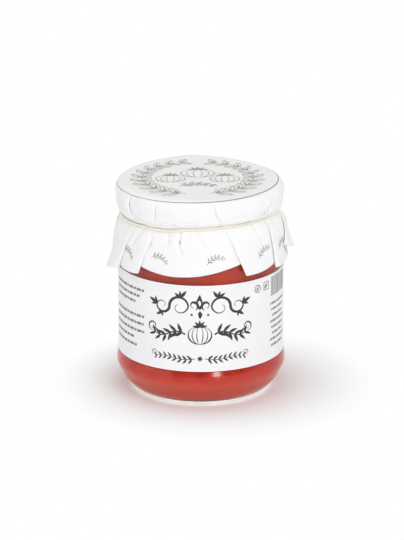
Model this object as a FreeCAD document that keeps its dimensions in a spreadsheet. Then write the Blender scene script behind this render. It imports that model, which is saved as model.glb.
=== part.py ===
import FreeCAD, Part

import math
import os
import re

import Sketcher

# A jar of sauce with a wrap-around paper label and a round sheet of paper folded over its lid,
# pleated and tied with string. Millimetres, +Z up, the front faces -Y.
# The origin is the centre of the ring that the jar stands on.

SIZES = (
    # glass jar
    ("body_radius", 33.6, "outside radius of the straight glass wall"),
    ("wall", 2.4, "glass wall"),
    ("floor_thickness", 3.0, "glass above the push-up"),
    ("heel_radius", 14.0, "round between the wall and the foot"),
    ("heel_turn", 60, "degrees that the heel turns before the foot"),
    ("foot_radius", 1.5, "round at the outside of the standing ring"),
    ("foot_width", 1.6, "width of the standing ring"),
    ("push_up", 1.2, "rise of the underside inside the standing ring"),
    ("push_run", 5.0, "radial run of that rise"),
    ("floor_dip", 0.8, "how much lower the floor is at its edge than in its middle"),
    ("dip_run", 6.0, "radial run of that dip"),
    ("dip_round", 6.0, "round at the top of the dip"),
    ("inside_heel", 11.0, "round between the inside wall and the floor"),
    ("inside_foot", 3.0, "round at the edge of the floor"),
    ("rim_height", 87.15, "height of the sealing rim"),
    ("neck_height", 13.15, "height of the rim above the top of the shoulder"),
    ("shoulder_rise", 6.5, "height of the shoulder"),
    ("shoulder_blend", 5.0, "round at the top of the straight wall"),
    ("neck_blend", 1.5, "round at the foot of the neck"),
    ("neck_radius", 30.6, "outside radius of the neck"),
    ("neck_wall", 3.2, "glass wall of the neck"),
    ("lug_depth", 1.1, "how far the lug ring stands out from the neck"),
    ("lug_drop", 6.95, "height of the rim above the underside of the lug ring"),
    ("lug_width", 2.6, "height of the lug ring"),
    ("lug_slope", 0.9, "height of the slope over and under the lug ring"),
    ("rim_wall", 2.5, "glass wall of the sealing rim"),
    ("rim_round", 0.8, "round of the sealing rim"),
    # contents
    ("fill_gap", 0.05, "clearance between the sauce and the glass"),
    ("headspace", 9.0, "empty height between the sauce and the rim"),
    # lid
    ("lid_clear", 0.9, "clearance between the lid's side and the lug ring"),
    ("lid_height", 10.3, "outside height of the lid"),
    ("lid_steel", 0.3, "thickness of the lid's steel"),
    ("lid_round", 2.4, "round at the lid's top edge"),
    ("lid_curl", 0.75, "radius of the curl at the lid's lower edge"),
    # paper label
    ("label_low", 16.3, "height of the label's lower edge"),
    ("label_drop", 14.9, "height of the shoulder above the label's upper edge"),
    ("label_paper", 0.12, "thickness of the label"),
    ("label_gap", 0.03, "glue between the label and the glass"),
    ("label_lap", 14, "degrees that the label's ends overlap at the back"),
    # paper cover
    ("paper", 0.45, "thickness of the gathered paper"),
    ("paper_gap", 0.15, "clearance between the paper and what it wraps"),
    ("cover_round", 2.4, "round at the cover's top edge"),
    ("sheet_radius", 65.0, "radius of the round sheet before it is folded"),
    ("skirt_length", 19.6, "height of the string above the lowest hem"),
    ("crest_drop", 6.6, "height from the string down to the skirt's first bend"),
    ("skirt_clear", 0.4, "clearance between the skirt and the glass wall"),
    ("hem_flare", 1.5, "how much wider the skirt is at its hem than at that bend"),
    ("cap_fold", 0.6, "height of the folds beside the lid"),
    ("tied_fold", 0.1, "height of the folds under the string"),
    ("hem_fold", 1.4, "height of the folds at the hem"),
    ("hem_uneven", 1.4, "how much the back panels differ in how low they hang"),
    # string
    ("string_radius", 0.62, "half the thickness of the string"),
    ("string_gap", 0.03, "clearance between the string and the paper"),
    ("string_drop", 2.35, "height of the lid's lower edge above the string"),
    ("knot_radius", 1.2, "radius of the knot at the back"),
    ("knot_length", 3.4, "length of the knot along the loop"),
    ("tail_length", 8.0, "length of each of the string's two ends"),
    ("tail_splay", 30, "degrees that each end leans sideways"),
)

# Each pleat's azimuth in degrees beside the lid, at the string and at the hem, counted from the
# front towards +X, the side of its edge that the upper layer lies on, how far above the lowest
# hem the panel after it hangs, and how high its fold stands there, as a share of hem_fold.
FRONT_PLEATS = (
    (-75.0, -77.0, -83.0, "left", 0.0, 1.5),
    (-55.0, -51.5, -61.5, "left", 0.2, 1.0),
    (-33.0, -33.0, -44.0, "left", 1.2, 1.0),
    (10.7, 18.0, 30.0, "right", 1.2, 1.0),
    (55.0, 55.5, 56.0, "right", 1.6, 1.0),
    (72.0, 71.0, 74.0, "left", 2.6, 1.0),
)
BACK_PLEATS = 7
BACK_STRAY = 3.5        # degrees that the back pleats stray from even spacing
BACK_SLANT = 6.0        # degrees that they lean between the string and the hem
STEP_ANGLE = 0.6        # degrees that the wall of a pleat takes up
HEM_LEAN = 0.12         # how far a panel's lowest point lies towards its upper edge

TOLERANCE = 1e-4


def add_sheet(doc):
    """Keep the driving sizes in a spreadsheet, one alias for each."""
    sheet = doc.addObject("Spreadsheet::Sheet", "Sizes")
    for row, (alias, value, meaning) in enumerate(SIZES, start=1):
        sheet.set("A%d" % row, meaning)
        sheet.set("B%d" % row, str(value))
        sheet.setAlias("B%d" % row, alias)
    doc.recompute()
    return sheet


def sized(text):
    """An expression with every size name in it pointed at the spreadsheet."""
    names = {alias for alias, _, _ in SIZES}

    def pointed(match):
        word = match.group()
        return "Sizes." + word if word in names else word

    return re.sub(r"[a-z_]+", pointed, text)


def value_of(sheet, text):
    return float(sheet.evalExpression(sized(text)))


# --- revolved bodies ---------------------------------------------------------------------------

def origin_item(body, role):
    return next(item for item in body.Origin.OriginFeatures if item.Role == role)


def add_body(doc, label):
    body = doc.addObject("PartDesign::Body", label)
    body.Label = label
    return body


def section_sketch(body, name, sheet, corners):
    """A closed outline of straight lines in the XZ plane. A corner is a radius and a height, both
    written as expressions of the sizes, and "axis" or "base" puts it on the Z or the X axis."""
    sketch = body.newObject("Sketcher::SketchObject", name)
    sketch.AttachmentSupport = [(origin_item(body, "XZ_Plane"), "")]
    sketch.MapMode = "FlatFace"
    points = []
    for radius, height in corners:
        x = 0.0 if radius == "axis" else value_of(sheet, radius)
        y = 0.0 if height == "base" else value_of(sheet, height)
        points.append(FreeCAD.Vector(x, y, 0))
    count = len(points)
    for i, point in enumerate(points):
        sketch.addGeometry(Part.LineSegment(point, points[(i + 1) % count]), False)
    for i in range(count):
        sketch.addConstraint(Sketcher.Constraint("Coincident", i, 2, (i + 1) % count, 1))
    for i, (radius, height) in enumerate(corners):
        place(sketch, "DistanceX", i, radius, points[i].x, -2)
        place(sketch, "DistanceY", i, height, points[i].y, -1)
    return sketch


def place(sketch, kind, line, text, value, axis):
    """Bind one coordinate of a line's first point to an expression, or hold it on an axis."""
    if text in ("axis", "base"):
        sketch.addConstraint(Sketcher.Constraint("PointOnObject", line, 1, axis))
        return
    index = sketch.addConstraint(Sketcher.Constraint(kind, -1, 1, line, 1, value))
    sketch.setExpression("Constraints[%d]" % index, sized(text))


def turn(body, name, sketch):
    """Revolve a sketch once round the Z axis."""
    feature = body.newObject("PartDesign::Revolution", name)
    feature.Profile = sketch
    feature.ReferenceAxis = (sketch, ["V_Axis"])
    feature.Angle = 360
    body.Document.recompute()
    return feature


def round_edges(body, name, base, sheet, places, radius):
    """Fillet the circular edges of base that pass through these (radius, height) places."""
    wanted = [(value_of(sheet, across), value_of(sheet, up)) for across, up in places]
    edges = []
    for number, edge in enumerate(base.Shape.Edges, start=1):
        if not isinstance(edge.Curve, Part.Circle):
            continue
        spot = (edge.Curve.Radius, edge.Curve.Center.z)
        if any(math.dist(spot, target) < TOLERANCE for target in wanted):
            edges.append("Edge%d" % number)
    feature = body.newObject("PartDesign::Fillet", name)
    feature.Base = (base, edges)
    feature.setExpression("Radius", sized(radius))
    body.Document.recompute()
    return feature


# --- glass jar ---------------------------------------------------------------------------------

# The heel is a cone between two rounds, just long enough for both of them.
HEEL_SLANT = ("( heel_radius * tan( heel_turn / 2 ) + foot_radius * tan( 45 - heel_turn / 2 )"
              " + 0.3 )")
HEEL_RISE = HEEL_SLANT + " * cos( heel_turn )"
FOOT_OUTSIDE = "( body_radius - " + HEEL_SLANT + " * sin( heel_turn ) )"
FOOT_INSIDE = "( " + FOOT_OUTSIDE + " - foot_width )"

INSIDE_RADIUS = "( body_radius - wall )"
FLOOR_HEIGHT = "( push_up + floor_thickness )"
INSIDE_SLANT = ("( inside_heel * tan( heel_turn / 2 ) + inside_foot * tan( 45 - heel_turn / 2 )"
                " + 0.3 )")
FLOOR_RADIUS = "( " + INSIDE_RADIUS + " - " + INSIDE_SLANT + " * sin( heel_turn ) )"
FLOOR_EDGE = "( " + FLOOR_HEIGHT + " - floor_dip )"
FLOOR_MIDDLE = "( " + FLOOR_RADIUS + " - dip_run )"
INSIDE_RISE = "( " + FLOOR_EDGE + " + " + INSIDE_SLANT + " * cos( heel_turn ) )"

NECK_START = "( rim_height - neck_height )"
SHOULDER_START = "( rim_height - neck_height - shoulder_rise )"
INSIDE_SHOULDER = "( " + SHOULDER_START + " - wall * 0.2 )"
INSIDE_NECK = "( " + NECK_START + " + wall * 0.2 )"
BORE_RADIUS = "( neck_radius - neck_wall )"
LUG_RADIUS = "( neck_radius + lug_depth )"
RIM_RADIUS = "( " + BORE_RADIUS + " + rim_wall )"
LUG_LOW = "( rim_height - lug_drop )"
LUG_TOP = "( " + LUG_LOW + " + lug_width )"


def build_glass(doc, sheet):
    """A twist-off jar: standing ring, rounded heel, straight wall, shoulder, neck and finish."""
    body = add_body(doc, "glass_jar")
    outside = [
        ("axis", "push_up"),
        (FOOT_INSIDE + " - push_run", "push_up"),
        (FOOT_INSIDE, "base"),
        (FOOT_OUTSIDE, "base"),
        ("body_radius", HEEL_RISE),
        ("body_radius", SHOULDER_START),
        ("neck_radius", NECK_START),
        ("neck_radius", LUG_LOW + " - lug_slope"),
        (LUG_RADIUS, LUG_LOW),
        (LUG_RADIUS, LUG_TOP),
        (RIM_RADIUS, LUG_TOP + " + lug_slope"),
        (RIM_RADIUS, "rim_height"),
    ]
    inside = [
        (BORE_RADIUS, "rim_height"),
        (BORE_RADIUS, INSIDE_NECK),
        (INSIDE_RADIUS, INSIDE_SHOULDER),
        (INSIDE_RADIUS, INSIDE_RISE),
        (FLOOR_RADIUS, FLOOR_EDGE),
        (FLOOR_MIDDLE, FLOOR_HEIGHT),
        ("axis", FLOOR_HEIGHT),
    ]
    sketch = section_sketch(body, "glass_section", sheet, outside + inside)
    shape = turn(body, "glass_turned", sketch)
    rounds = (
        ("heel", [("body_radius", HEEL_RISE)], "heel_radius"),
        ("foot", [(FOOT_OUTSIDE, "0")], "foot_radius"),
        ("inside_heel_round", [(INSIDE_RADIUS, INSIDE_RISE)], "inside_heel"),
        ("floor_edge", [(FLOOR_RADIUS, FLOOR_EDGE)], "inside_foot"),
        ("floor_middle", [(FLOOR_MIDDLE, FLOOR_HEIGHT)], "dip_round"),
        ("shoulder_round",
         [("body_radius", SHOULDER_START), (INSIDE_RADIUS, INSIDE_SHOULDER)], "shoulder_blend"),
        ("neck_round", [("neck_radius", NECK_START), (BORE_RADIUS, INSIDE_NECK)], "neck_blend"),
        ("rim_round_off",
         [(RIM_RADIUS, "rim_height"), (BORE_RADIUS, "rim_height")], "rim_round"),
        ("foot_inside", [(FOOT_INSIDE, "0")], "foot_width / 4"),
    )
    for name, places, radius in rounds:
        shape = round_edges(body, name, shape, sheet, places, radius)
    body.Tip = shape
    return body


def build_sauce(doc, sheet):
    """The contents: the inside of the jar up to the fill level, a hair clear of the glass."""
    body = add_body(doc, "sauce")
    side = INSIDE_RADIUS + " - fill_gap"
    neck = BORE_RADIUS + " - fill_gap"
    level = "rim_height - headspace"
    corners = [
        ("axis", FLOOR_HEIGHT + " + fill_gap"),
        (FLOOR_MIDDLE, FLOOR_HEIGHT + " + fill_gap"),
        (FLOOR_RADIUS + " - fill_gap", FLOOR_EDGE + " + fill_gap"),
        (side, INSIDE_RISE + " + fill_gap"),
        (side, INSIDE_SHOULDER + " - fill_gap"),
        (neck, INSIDE_NECK + " - fill_gap"),
        (neck, level),
        ("axis", level),
    ]
    sketch = section_sketch(body, "sauce_section", sheet, corners)
    shape = turn(body, "sauce_turned", sketch)
    rounds = (
        ("sauce_heel", [(side, INSIDE_RISE + " + fill_gap")], "inside_heel - fill_gap"),
        ("sauce_middle", [(FLOOR_MIDDLE, FLOOR_HEIGHT + " + fill_gap")], "dip_round"),
        ("sauce_floor", [(FLOOR_RADIUS + " - fill_gap", FLOOR_EDGE + " + fill_gap")],
         "inside_foot - fill_gap"),
        ("sauce_shoulder", [(side, INSIDE_SHOULDER + " - fill_gap")],
         "shoulder_blend - fill_gap"),
    )
    for name, places, radius in rounds:
        shape = round_edges(body, name, shape, sheet, places, radius)
    body.Tip = shape
    return body


# --- twist lid ---------------------------------------------------------------------------------

LID_INSIDE = "( " + LUG_RADIUS + " + lid_clear )"
LID_RADIUS = "( " + LID_INSIDE + " + lid_steel )"
LID_LOW = "( rim_height + lid_steel - lid_height )"
CURL_RADIUS = "( " + LID_RADIUS + " - lid_curl )"
CURL_HEIGHT = "( " + LID_LOW + " + lid_curl )"


def build_lid(doc, sheet):
    """A pressed steel twist lid that sits on the rim, its lower edge curled inwards."""
    body = add_body(doc, "lid")
    corners = [
        ("axis", "rim_height"),
        (LID_INSIDE, "rim_height"),
        (LID_INSIDE, CURL_HEIGHT),
        (LID_RADIUS, CURL_HEIGHT),
        (LID_RADIUS, "rim_height + lid_steel"),
        ("axis", "rim_height + lid_steel"),
    ]
    sketch = section_sketch(body, "lid_section", sheet, corners)
    shape = turn(body, "lid_pressed", sketch)
    shape = round_edges(body, "lid_edge", shape, sheet,
                        [(LID_RADIUS, "rim_height + lid_steel")], "lid_round")
    shape = round_edges(body, "lid_inside_edge", shape, sheet,
                        [(LID_INSIDE, "rim_height")], "lid_round - lid_steel")
    body.Tip = turn(body, "lid_curled", curl_sketch(body, sheet))
    return body


def curl_sketch(body, sheet):
    """The round section of the curl at the lid's lower edge."""
    sketch = body.newObject("Sketcher::SketchObject", "curl_section")
    sketch.AttachmentSupport = [(origin_item(body, "XZ_Plane"), "")]
    sketch.MapMode = "FlatFace"
    radius = value_of(sheet, "lid_curl")
    centre = FreeCAD.Vector(value_of(sheet, CURL_RADIUS), value_of(sheet, CURL_HEIGHT), 0)
    sketch.addGeometry(Part.Circle(centre, FreeCAD.Vector(0, 0, 1), radius), False)
    index = sketch.addConstraint(Sketcher.Constraint("Radius", 0, radius))
    sketch.setExpression("Constraints[%d]" % index, sized("lid_curl"))
    for kind, text in (("DistanceX", CURL_RADIUS), ("DistanceY", CURL_HEIGHT)):
        index = sketch.addConstraint(
            Sketcher.Constraint(kind, -1, 1, 0, 3, value_of(sheet, text)))
        sketch.setExpression("Constraints[%d]" % index, sized(text))
    return sketch


# --- paper label -------------------------------------------------------------------------------

LABEL_INNER = "( body_radius + label_gap )"
LABEL_OUTER = "( body_radius + label_gap + label_paper )"
LABEL_HEIGHT = "( " + SHOULDER_START + " - label_drop - label_low )"


def add_tube(doc, name, inner, outer, low, height, angle):
    """A tube, or a strip of one, with its sizes bound to expressions."""
    shells = []
    for part, radius in (("outside", outer), ("inside", inner)):
        cylinder = doc.addObject("Part::Cylinder", name + "_" + part)
        cylinder.setExpression("Radius", sized(radius))
        cylinder.setExpression("Height", sized(height))
        cylinder.setExpression("Angle", sized(angle))
        cylinder.setExpression("Placement.Base.z", sized(low))
        shells.append(cylinder)
    tube = doc.addObject("Part::Cut", name)
    tube.Base, tube.Tool = shells
    return tube


def build_label(doc):
    """A paper band right round the straight wall, its ends lapped at the back."""
    band = add_tube(doc, "band", LABEL_INNER, LABEL_OUTER, "label_low", LABEL_HEIGHT, "360")
    lap = add_tube(doc, "lap", LABEL_OUTER + " - label_paper / 2", LABEL_OUTER + " + label_paper",
                   "label_low", LABEL_HEIGHT, "label_lap")
    for cylinder in (lap.Base, lap.Tool):
        cylinder.setExpression("Placement.Rotation.Angle", sized("90 - label_lap / 2"))
        cylinder.Placement.Rotation.Axis = FreeCAD.Vector(0, 0, 1)
    label = doc.addObject("Part::MultiFuse", "label")
    label.Shapes = [band, lap]
    label.Refine = True
    label.Label = "label"
    return label


# --- pleated paper cover -----------------------------------------------------------------------

# The string pulls the paper in to the glass, which is the neck or, lower down, the shoulder.
STRING_HEIGHT = "( " + LID_LOW + " - string_drop )"
SHOULDER_SLOPE = "( body_radius - neck_radius ) / shoulder_rise"
TIED_GLASS = ("( neck_radius + max( 0 ; " + NECK_START + " - " + STRING_HEIGHT + " + string_radius ) * "
              + SHOULDER_SLOPE + " )")


def all_pleats(size):
    """The front pleats as they lie, and the back ones spread over what is left of the circle."""
    pleats = list(FRONT_PLEATS)
    first = FRONT_PLEATS[-1][1]
    last = FRONT_PLEATS[0][1] + 360
    pitch = (last - first) / (BACK_PLEATS + 1)
    for i in range(1, BACK_PLEATS + 1):
        tied = first + pitch * i + BACK_STRAY * math.sin(2.4 * i)
        rim = tied + BACK_STRAY * math.cos(3.1 * i) / 2
        hem = tied - BACK_SLANT * math.sin(1.7 * i + 0.6)
        rise = size["hem_uneven"] * (0.5 + 0.5 * math.sin(2.2 * i - 1.0))
        pleats.append((rim, tied, hem, "left", rise, 1.0))
    return pleats


def polar(radius, degrees, height):
    """A point at this azimuth from the front (-Y) towards +X."""
    angle = math.radians(degrees)
    return FreeCAD.Vector(radius * math.sin(angle), -radius * math.cos(angle), height)


def blend(stops, height, smooth=False):
    """Interpolation in a list of (height, value), highest first, straight or eased."""
    for (high, above), (low, below) in zip(stops, stops[1:]):
        if height >= low:
            share = min(1.0, (high - height) / (high - low))
            if smooth:
                share = share * share * (3 - 2 * share)
            return above + (below - above) * share
    return stops[-1][1]


class CoverForm:
    """Radii and pleat azimuths of the cover at any height, from the named sizes."""

    def __init__(self, sheet):
        size = {alias: value_of(sheet, alias) for alias, _, _ in SIZES}
        self.size = size
        self.lid_radius = value_of(sheet, LID_RADIUS)
        self.lid_low = value_of(sheet, LID_LOW)
        self.tied_glass = value_of(sheet, TIED_GLASS)
        self.lid_top = size["rim_height"] + size["lid_steel"]
        self.shoulder = (value_of(sheet, SHOULDER_START), value_of(sheet, NECK_START))
        self.top = self.lid_top + size["paper"]
        self.tied = value_of(sheet, STRING_HEIGHT)
        self.crest = self.tied - size["crest_drop"]
        self.hem = self.tied - size["skirt_length"]
        self.low = self.hem - size["hem_fold"]
        self.swell = (self.top + self.lid_low) / 2
        self.waist = self.lid_low + size["string_radius"]
        self.band = size["string_radius"] / 2

    def glass_radius(self, height):
        """Outside of the jar at the shoulder, with its blends left out."""
        start, end = self.shoulder
        stops = [(end, self.size["neck_radius"]), (start, self.size["body_radius"])]
        return blend([(end + 1, self.size["neck_radius"])] + stops, height)

    def inner_radius(self, height):
        """Inside of the paper beside the lid, in to the neck, and out to the skirt's hem."""
        size = self.size
        wall_clear = size["body_radius"] + size["skirt_clear"]
        if height < self.crest:
            stops = [(self.crest, wall_clear), (self.low, wall_clear + size["hem_flare"])]
            return blend(stops, height)
        cap = self.lid_radius + size["paper_gap"]
        neck = self.tied_glass + size["paper_gap"]
        stops = [(self.top, cap), (self.waist, cap), (self.tied + self.band, neck),
                 (self.tied - self.band, neck), (self.crest, wall_clear)]
        return max(blend(stops, height, smooth=True),
                   self.glass_radius(height) + size["paper_gap"])

    def base_radius(self, height):
        """Outside of the lowest paper layer, with the round at the top edge."""
        size = self.size
        outer = self.inner_radius(height) + size["paper"]
        drop = self.top - height
        if drop < size["cover_round"]:
            inset = size["cover_round"] - drop
            outer -= size["cover_round"] - math.sqrt(size["cover_round"] ** 2 - inset ** 2)
        return outer

    def fold_height(self, height):
        size = self.size
        stops = [
            (self.top, size["tied_fold"] / 2),
            (self.swell, size["cap_fold"]),
            (self.tied + self.band, size["tied_fold"]),
            (self.tied - self.band, size["tied_fold"]),
            (self.crest, size["hem_fold"] / 2),
            (self.low, size["hem_fold"]),
        ]
        return blend(stops, height, smooth=True)

    def lift(self, pleat, height):
        """How far the upper layer stands out from the lower one at this pleat."""
        stops = [(self.tied, 1.0), (self.hem, pleat[5])]
        return self.fold_height(height) * blend([(self.top, 1.0)] + stops, height)

    def azimuth(self, pleat, height):
        rim, tied, hem = pleat[:3]
        stops = [(self.top, rim), (self.swell, rim), (self.tied, tied), (self.hem, hem)]
        return blend(stops, height)

    def levels(self):
        """Heights of the sections that the folded paper is lofted through, highest first."""
        size = self.size
        edge = self.top - size["cover_round"]
        above = self.tied + self.band
        under = self.tied - self.band
        spans = ((self.top, edge, 4), (edge, self.waist, 3), (self.waist, above, 4),
                 (above, under, 1), (under, self.crest, 5), (self.crest, self.low, 3))
        heights = [self.top]
        for high, low, steps in spans:
            heights += [high + (low - high) * step / steps for step in range(1, steps + 1)]
        return heights


def pleat_section(form, pleats, height):
    """One closed ring of arcs and short steps: each panel runs under one neighbour and over the
    other, and the front panel lies under both."""
    base = form.base_radius(height)
    fold = form.fold_height(height)
    count = len(pleats)
    edges = []
    for i, pleat in enumerate(pleats):
        following = pleats[(i + 1) % count]
        start = form.azimuth(pleat, height)
        end = form.azimuth(following, height) + (360 if i + 1 == count else 0)
        start_lift = form.lift(pleat, height) if pleat[3] == "right" else 0
        end_lift = form.lift(following, height) if following[3] == "left" else 0
        first = polar(base + start_lift, start + STEP_ANGLE / 2, height)
        middle = polar(base + (start_lift + end_lift + fold) / 3, (start + end) / 2, height)
        last = polar(base + end_lift, end - STEP_ANGLE / 2, height)
        next_lift = form.lift(following, height) if following[3] == "right" else 0
        foot = polar(base + next_lift, end + STEP_ANGLE / 2, height)
        edges.append(Part.Arc(first, middle, last).toShape())
        edges.append(Part.makeLine(last, foot))
    return Part.Wire(edges)


def hem_cutter(form, pleats, index):
    """What lies beyond the round sheet's edge on one panel: the panel's sector, less the disc
    that the flat sheet makes where it hangs straight down."""
    pleat = pleats[index]
    following = pleats[(index + 1) % len(pleats)]
    lap = 360 if index + 1 == len(pleats) else 0
    size = form.size
    reach = 2 * form.inner_radius(form.low)
    rings = []
    for height in (form.crest, form.low - size["hem_fold"]):
        start = form.azimuth(pleat, height)
        end = form.azimuth(following, height) + lap
        spread = [start + (end - start) * share for share in (0, 0.5, 1)]
        corners = [FreeCAD.Vector(0, 0, height)] + [polar(reach, a, height) for a in spread]
        rings.append(Part.makePolygon(corners + corners[:1]))
    sector = Part.makeLoft(rings, True, True)
    start = form.azimuth(pleat, form.hem)
    end = form.azimuth(following, form.hem) + lap
    lean = 0.5 + HEM_LEAN * ((following[3] == "left") - (pleat[3] == "right"))
    middle = start + (end - start) * lean
    centre = FreeCAD.Vector(0, 0, form.hem + pleat[4] + size["sheet_radius"])
    disc = Part.makeCylinder(size["sheet_radius"], reach * 2, centre, polar(1, middle, 0))
    return sector.cut(disc)


def inside_of_cover(form):
    """The space that the cover wraps, turned round the axis: lid, neck and a flared skirt."""
    size = form.size
    corner = size["cover_round"] / 2
    cap = form.inner_radius(form.lid_top)
    sides = [height for height in form.levels() if height < form.lid_top - corner]
    below = form.low - 3 * size["hem_fold"]
    outline = [(0, form.lid_top), (cap - corner, form.lid_top), (cap, form.lid_top - corner)]
    outline += [(form.inner_radius(height), height) for height in sides]
    outline += [(form.inner_radius(form.low), below), (0, below)]
    corners = [FreeCAD.Vector(radius, 0, height) for radius, height in outline]
    face = Part.Face(Part.makePolygon(corners + corners[:1]))
    return face.revolve(FreeCAD.Vector(0, 0, 0), FreeCAD.Vector(0, 0, 1), 360)


def build_cover(doc, sheet):
    """A round sheet of paper over the lid, in knife pleats that grow from the rim to the hem."""
    form = CoverForm(sheet)
    pleats = all_pleats(form.size)
    rings = [pleat_section(form, pleats, height) for height in form.levels()]
    folded = Part.makeLoft(rings, True, True)
    hems = [hem_cutter(form, pleats, index) for index in range(len(pleats))]
    shape = folded.cut(hems).cut(inside_of_cover(form))
    feature = doc.addObject("Part::Feature", "paper_cover")
    feature.Label = "paper_cover"
    feature.Shape = shape
    feature.Placement = FreeCAD.Placement()
    return feature


# --- string ------------------------------------------------------------------------------------

TIED_RADIUS = "( " + TIED_GLASS + " + paper_gap + paper + tied_fold + string_gap + string_radius )"
SKIRT_CREST = "( body_radius + skirt_clear + paper + hem_fold )"


def build_string(doc, sheet):
    """A loop of string round the gathered paper, knotted at the back, with two short ends."""
    loop = doc.addObject("Part::Torus", "loop")
    loop.setExpression("Radius1", sized(TIED_RADIUS))
    loop.setExpression("Radius2", sized("string_radius"))
    loop.setExpression("Placement.Base.z", sized(STRING_HEIGHT))
    knot = add_body(doc, "knot")
    barrel = section_sketch(knot, "knot_section", sheet, [
        ("axis", "base"), ("knot_radius", "base"), ("knot_radius", "knot_length"),
        ("axis", "knot_length")])
    shape = turn(knot, "knot_turned", barrel)
    knot.Tip = round_edges(knot, "knot_round", shape, sheet,
                           [("knot_radius", "0"), ("knot_radius", "knot_length")],
                           "knot_radius * 0.45")
    lying = FreeCAD.Rotation(FreeCAD.Vector(0, 1, 0), 90)
    seam_turned = FreeCAD.Rotation(FreeCAD.Vector(0, 0, 1), 270)
    knot.Placement.Rotation = lying.multiply(seam_turned)
    knot.setExpression("Placement.Base.x", sized("-knot_length / 2"))
    knot_out = TIED_RADIUS + " + knot_radius - string_radius"
    outwards = value_of(sheet, SKIRT_CREST + " + string_radius - ( " + knot_out + " )")
    lean = outwards / value_of(sheet, "crest_drop")
    splay = math.tan(math.radians(value_of(sheet, "tail_splay")))
    pieces = [loop, knot]
    for name, side in (("left_end", -1), ("right_end", 1)):
        end = doc.addObject("Part::Cylinder", name)
        end.setExpression("Radius", sized("string_radius"))
        end.setExpression("Height", sized("tail_length"))
        down = FreeCAD.Vector(side * splay, lean, -1)
        end.Placement.Rotation = FreeCAD.Rotation(FreeCAD.Vector(0, 0, 1), down)
        pieces.append(end)
    for piece in pieces[1:]:
        piece.setExpression("Placement.Base.y", sized(knot_out))
        piece.setExpression("Placement.Base.z", sized(STRING_HEIGHT))
    string = doc.addObject("Part::MultiFuse", "string")
    string.Shapes = pieces
    string.Label = "string"
    return string


# --- the whole ---------------------------------------------------------------------------------

def check(doc, nodes):
    for item in doc.Objects:
        if "Invalid" in item.State or "Error" in item.State:
            raise RuntimeError("%s did not build: %s" % (item.Label, item.State))
    for node in nodes:
        if node.Shape.isNull() or not node.Shape.isValid():
            raise RuntimeError("%s has no valid shape" % node.Label)
        if len(node.Shape.Solids) != 1:
            raise RuntimeError("%s is %d solids" % (node.Label, len(node.Shape.Solids)))


def main():
    doc = FreeCAD.newDocument("jar_of_sauce")
    sheet = add_sheet(doc)
    nodes = [
        build_glass(doc, sheet),
        build_sauce(doc, sheet),
        build_lid(doc, sheet),
        build_label(doc),
        build_cover(doc, sheet),
        build_string(doc, sheet),
    ]
    doc.recompute()
    check(doc, nodes)
    os.makedirs("parts", exist_ok=True)
    for node in nodes:
        node.Shape.exportStep("parts/%s.step" % node.Label)
        box = node.Shape.BoundBox
        print("%-12s %9.1f mm3  x %.2f %.2f  y %.2f %.2f  z %.2f %.2f" % (
            node.Label, node.Shape.Volume, box.XMin, box.XMax, box.YMin, box.YMax,
            box.ZMin, box.ZMax))


main()
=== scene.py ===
"""Looks of a jar of pasta sauce under a tied paper cover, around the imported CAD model.

Lengths are in millimetres in the tables and functions, and become metres when a mesh is made.
Azimuths are in degrees from the front (-Y) towards +X. Points of a turned profile (radius and
height) and of a flat print (right and up) are complex numbers.
"""
import cmath
import math
from collections import namedtuple

import bmesh
import bpy
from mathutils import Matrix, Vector, noise


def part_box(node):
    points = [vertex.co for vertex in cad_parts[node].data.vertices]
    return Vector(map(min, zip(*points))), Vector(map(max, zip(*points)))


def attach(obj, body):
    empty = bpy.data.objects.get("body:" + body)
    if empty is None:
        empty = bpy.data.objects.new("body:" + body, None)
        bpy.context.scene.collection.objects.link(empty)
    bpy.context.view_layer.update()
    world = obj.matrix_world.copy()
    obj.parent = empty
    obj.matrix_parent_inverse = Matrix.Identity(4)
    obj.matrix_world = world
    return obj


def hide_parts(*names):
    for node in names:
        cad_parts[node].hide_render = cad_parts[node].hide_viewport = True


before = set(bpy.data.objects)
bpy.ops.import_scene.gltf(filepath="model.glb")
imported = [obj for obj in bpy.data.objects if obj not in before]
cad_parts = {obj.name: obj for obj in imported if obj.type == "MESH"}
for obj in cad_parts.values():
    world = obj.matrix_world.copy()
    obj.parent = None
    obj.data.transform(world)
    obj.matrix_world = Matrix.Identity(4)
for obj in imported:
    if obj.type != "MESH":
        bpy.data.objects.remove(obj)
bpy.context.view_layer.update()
MM = 0.001


def node_box(node):
    """Lowest and highest corner of a CAD node, in millimetres."""
    low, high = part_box(node)
    return low / MM, high / MM


GLASS_HIGH = node_box("glass_jar")[1]
LABEL_LOW, LABEL_HIGH = node_box("label")
LID_LOW, LID_HIGH = node_box("lid")
BODY_RADIUS = GLASS_HIGH.x
RIM_HEIGHT = GLASS_HIGH.z
LID_RADIUS = LID_HIGH.x
LID_EDGE = LID_LOW.z
LABEL_RADIUS = LABEL_HIGH.x
COVER_TOP = node_box("paper_cover")[1].z


# --- small tools -----------------------------------------------------------------

def polar(radius, azimuth, height):
    angle = math.radians(azimuth)
    return (radius * math.sin(angle), -radius * math.cos(angle), height)


def ray(degrees):
    """Unit step in a direction, as a complex number."""
    return cmath.rect(1, math.radians(degrees))


def unit(step):
    return step / abs(step)


def share_of(value):
    return min(1.0, max(0.0, value))


def smooth(value):
    """Eased share, 0 to 1."""
    value = share_of(value)
    return value * value * (3 - 2 * value)


def bell(distance, width):
    return math.exp(-(distance / width) ** 2)


def stops_at(stops, height, eased=True):
    """Interpolation in a list of (height, value), highest first."""
    if height >= stops[0][0]:
        return stops[0][1]
    for (high, above), (low, below) in zip(stops, stops[1:]):
        if height >= low:
            share = (high - height) / (high - low)
            return above + (below - above) * (smooth(share) if eased else share)
    return stops[-1][1]


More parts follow.
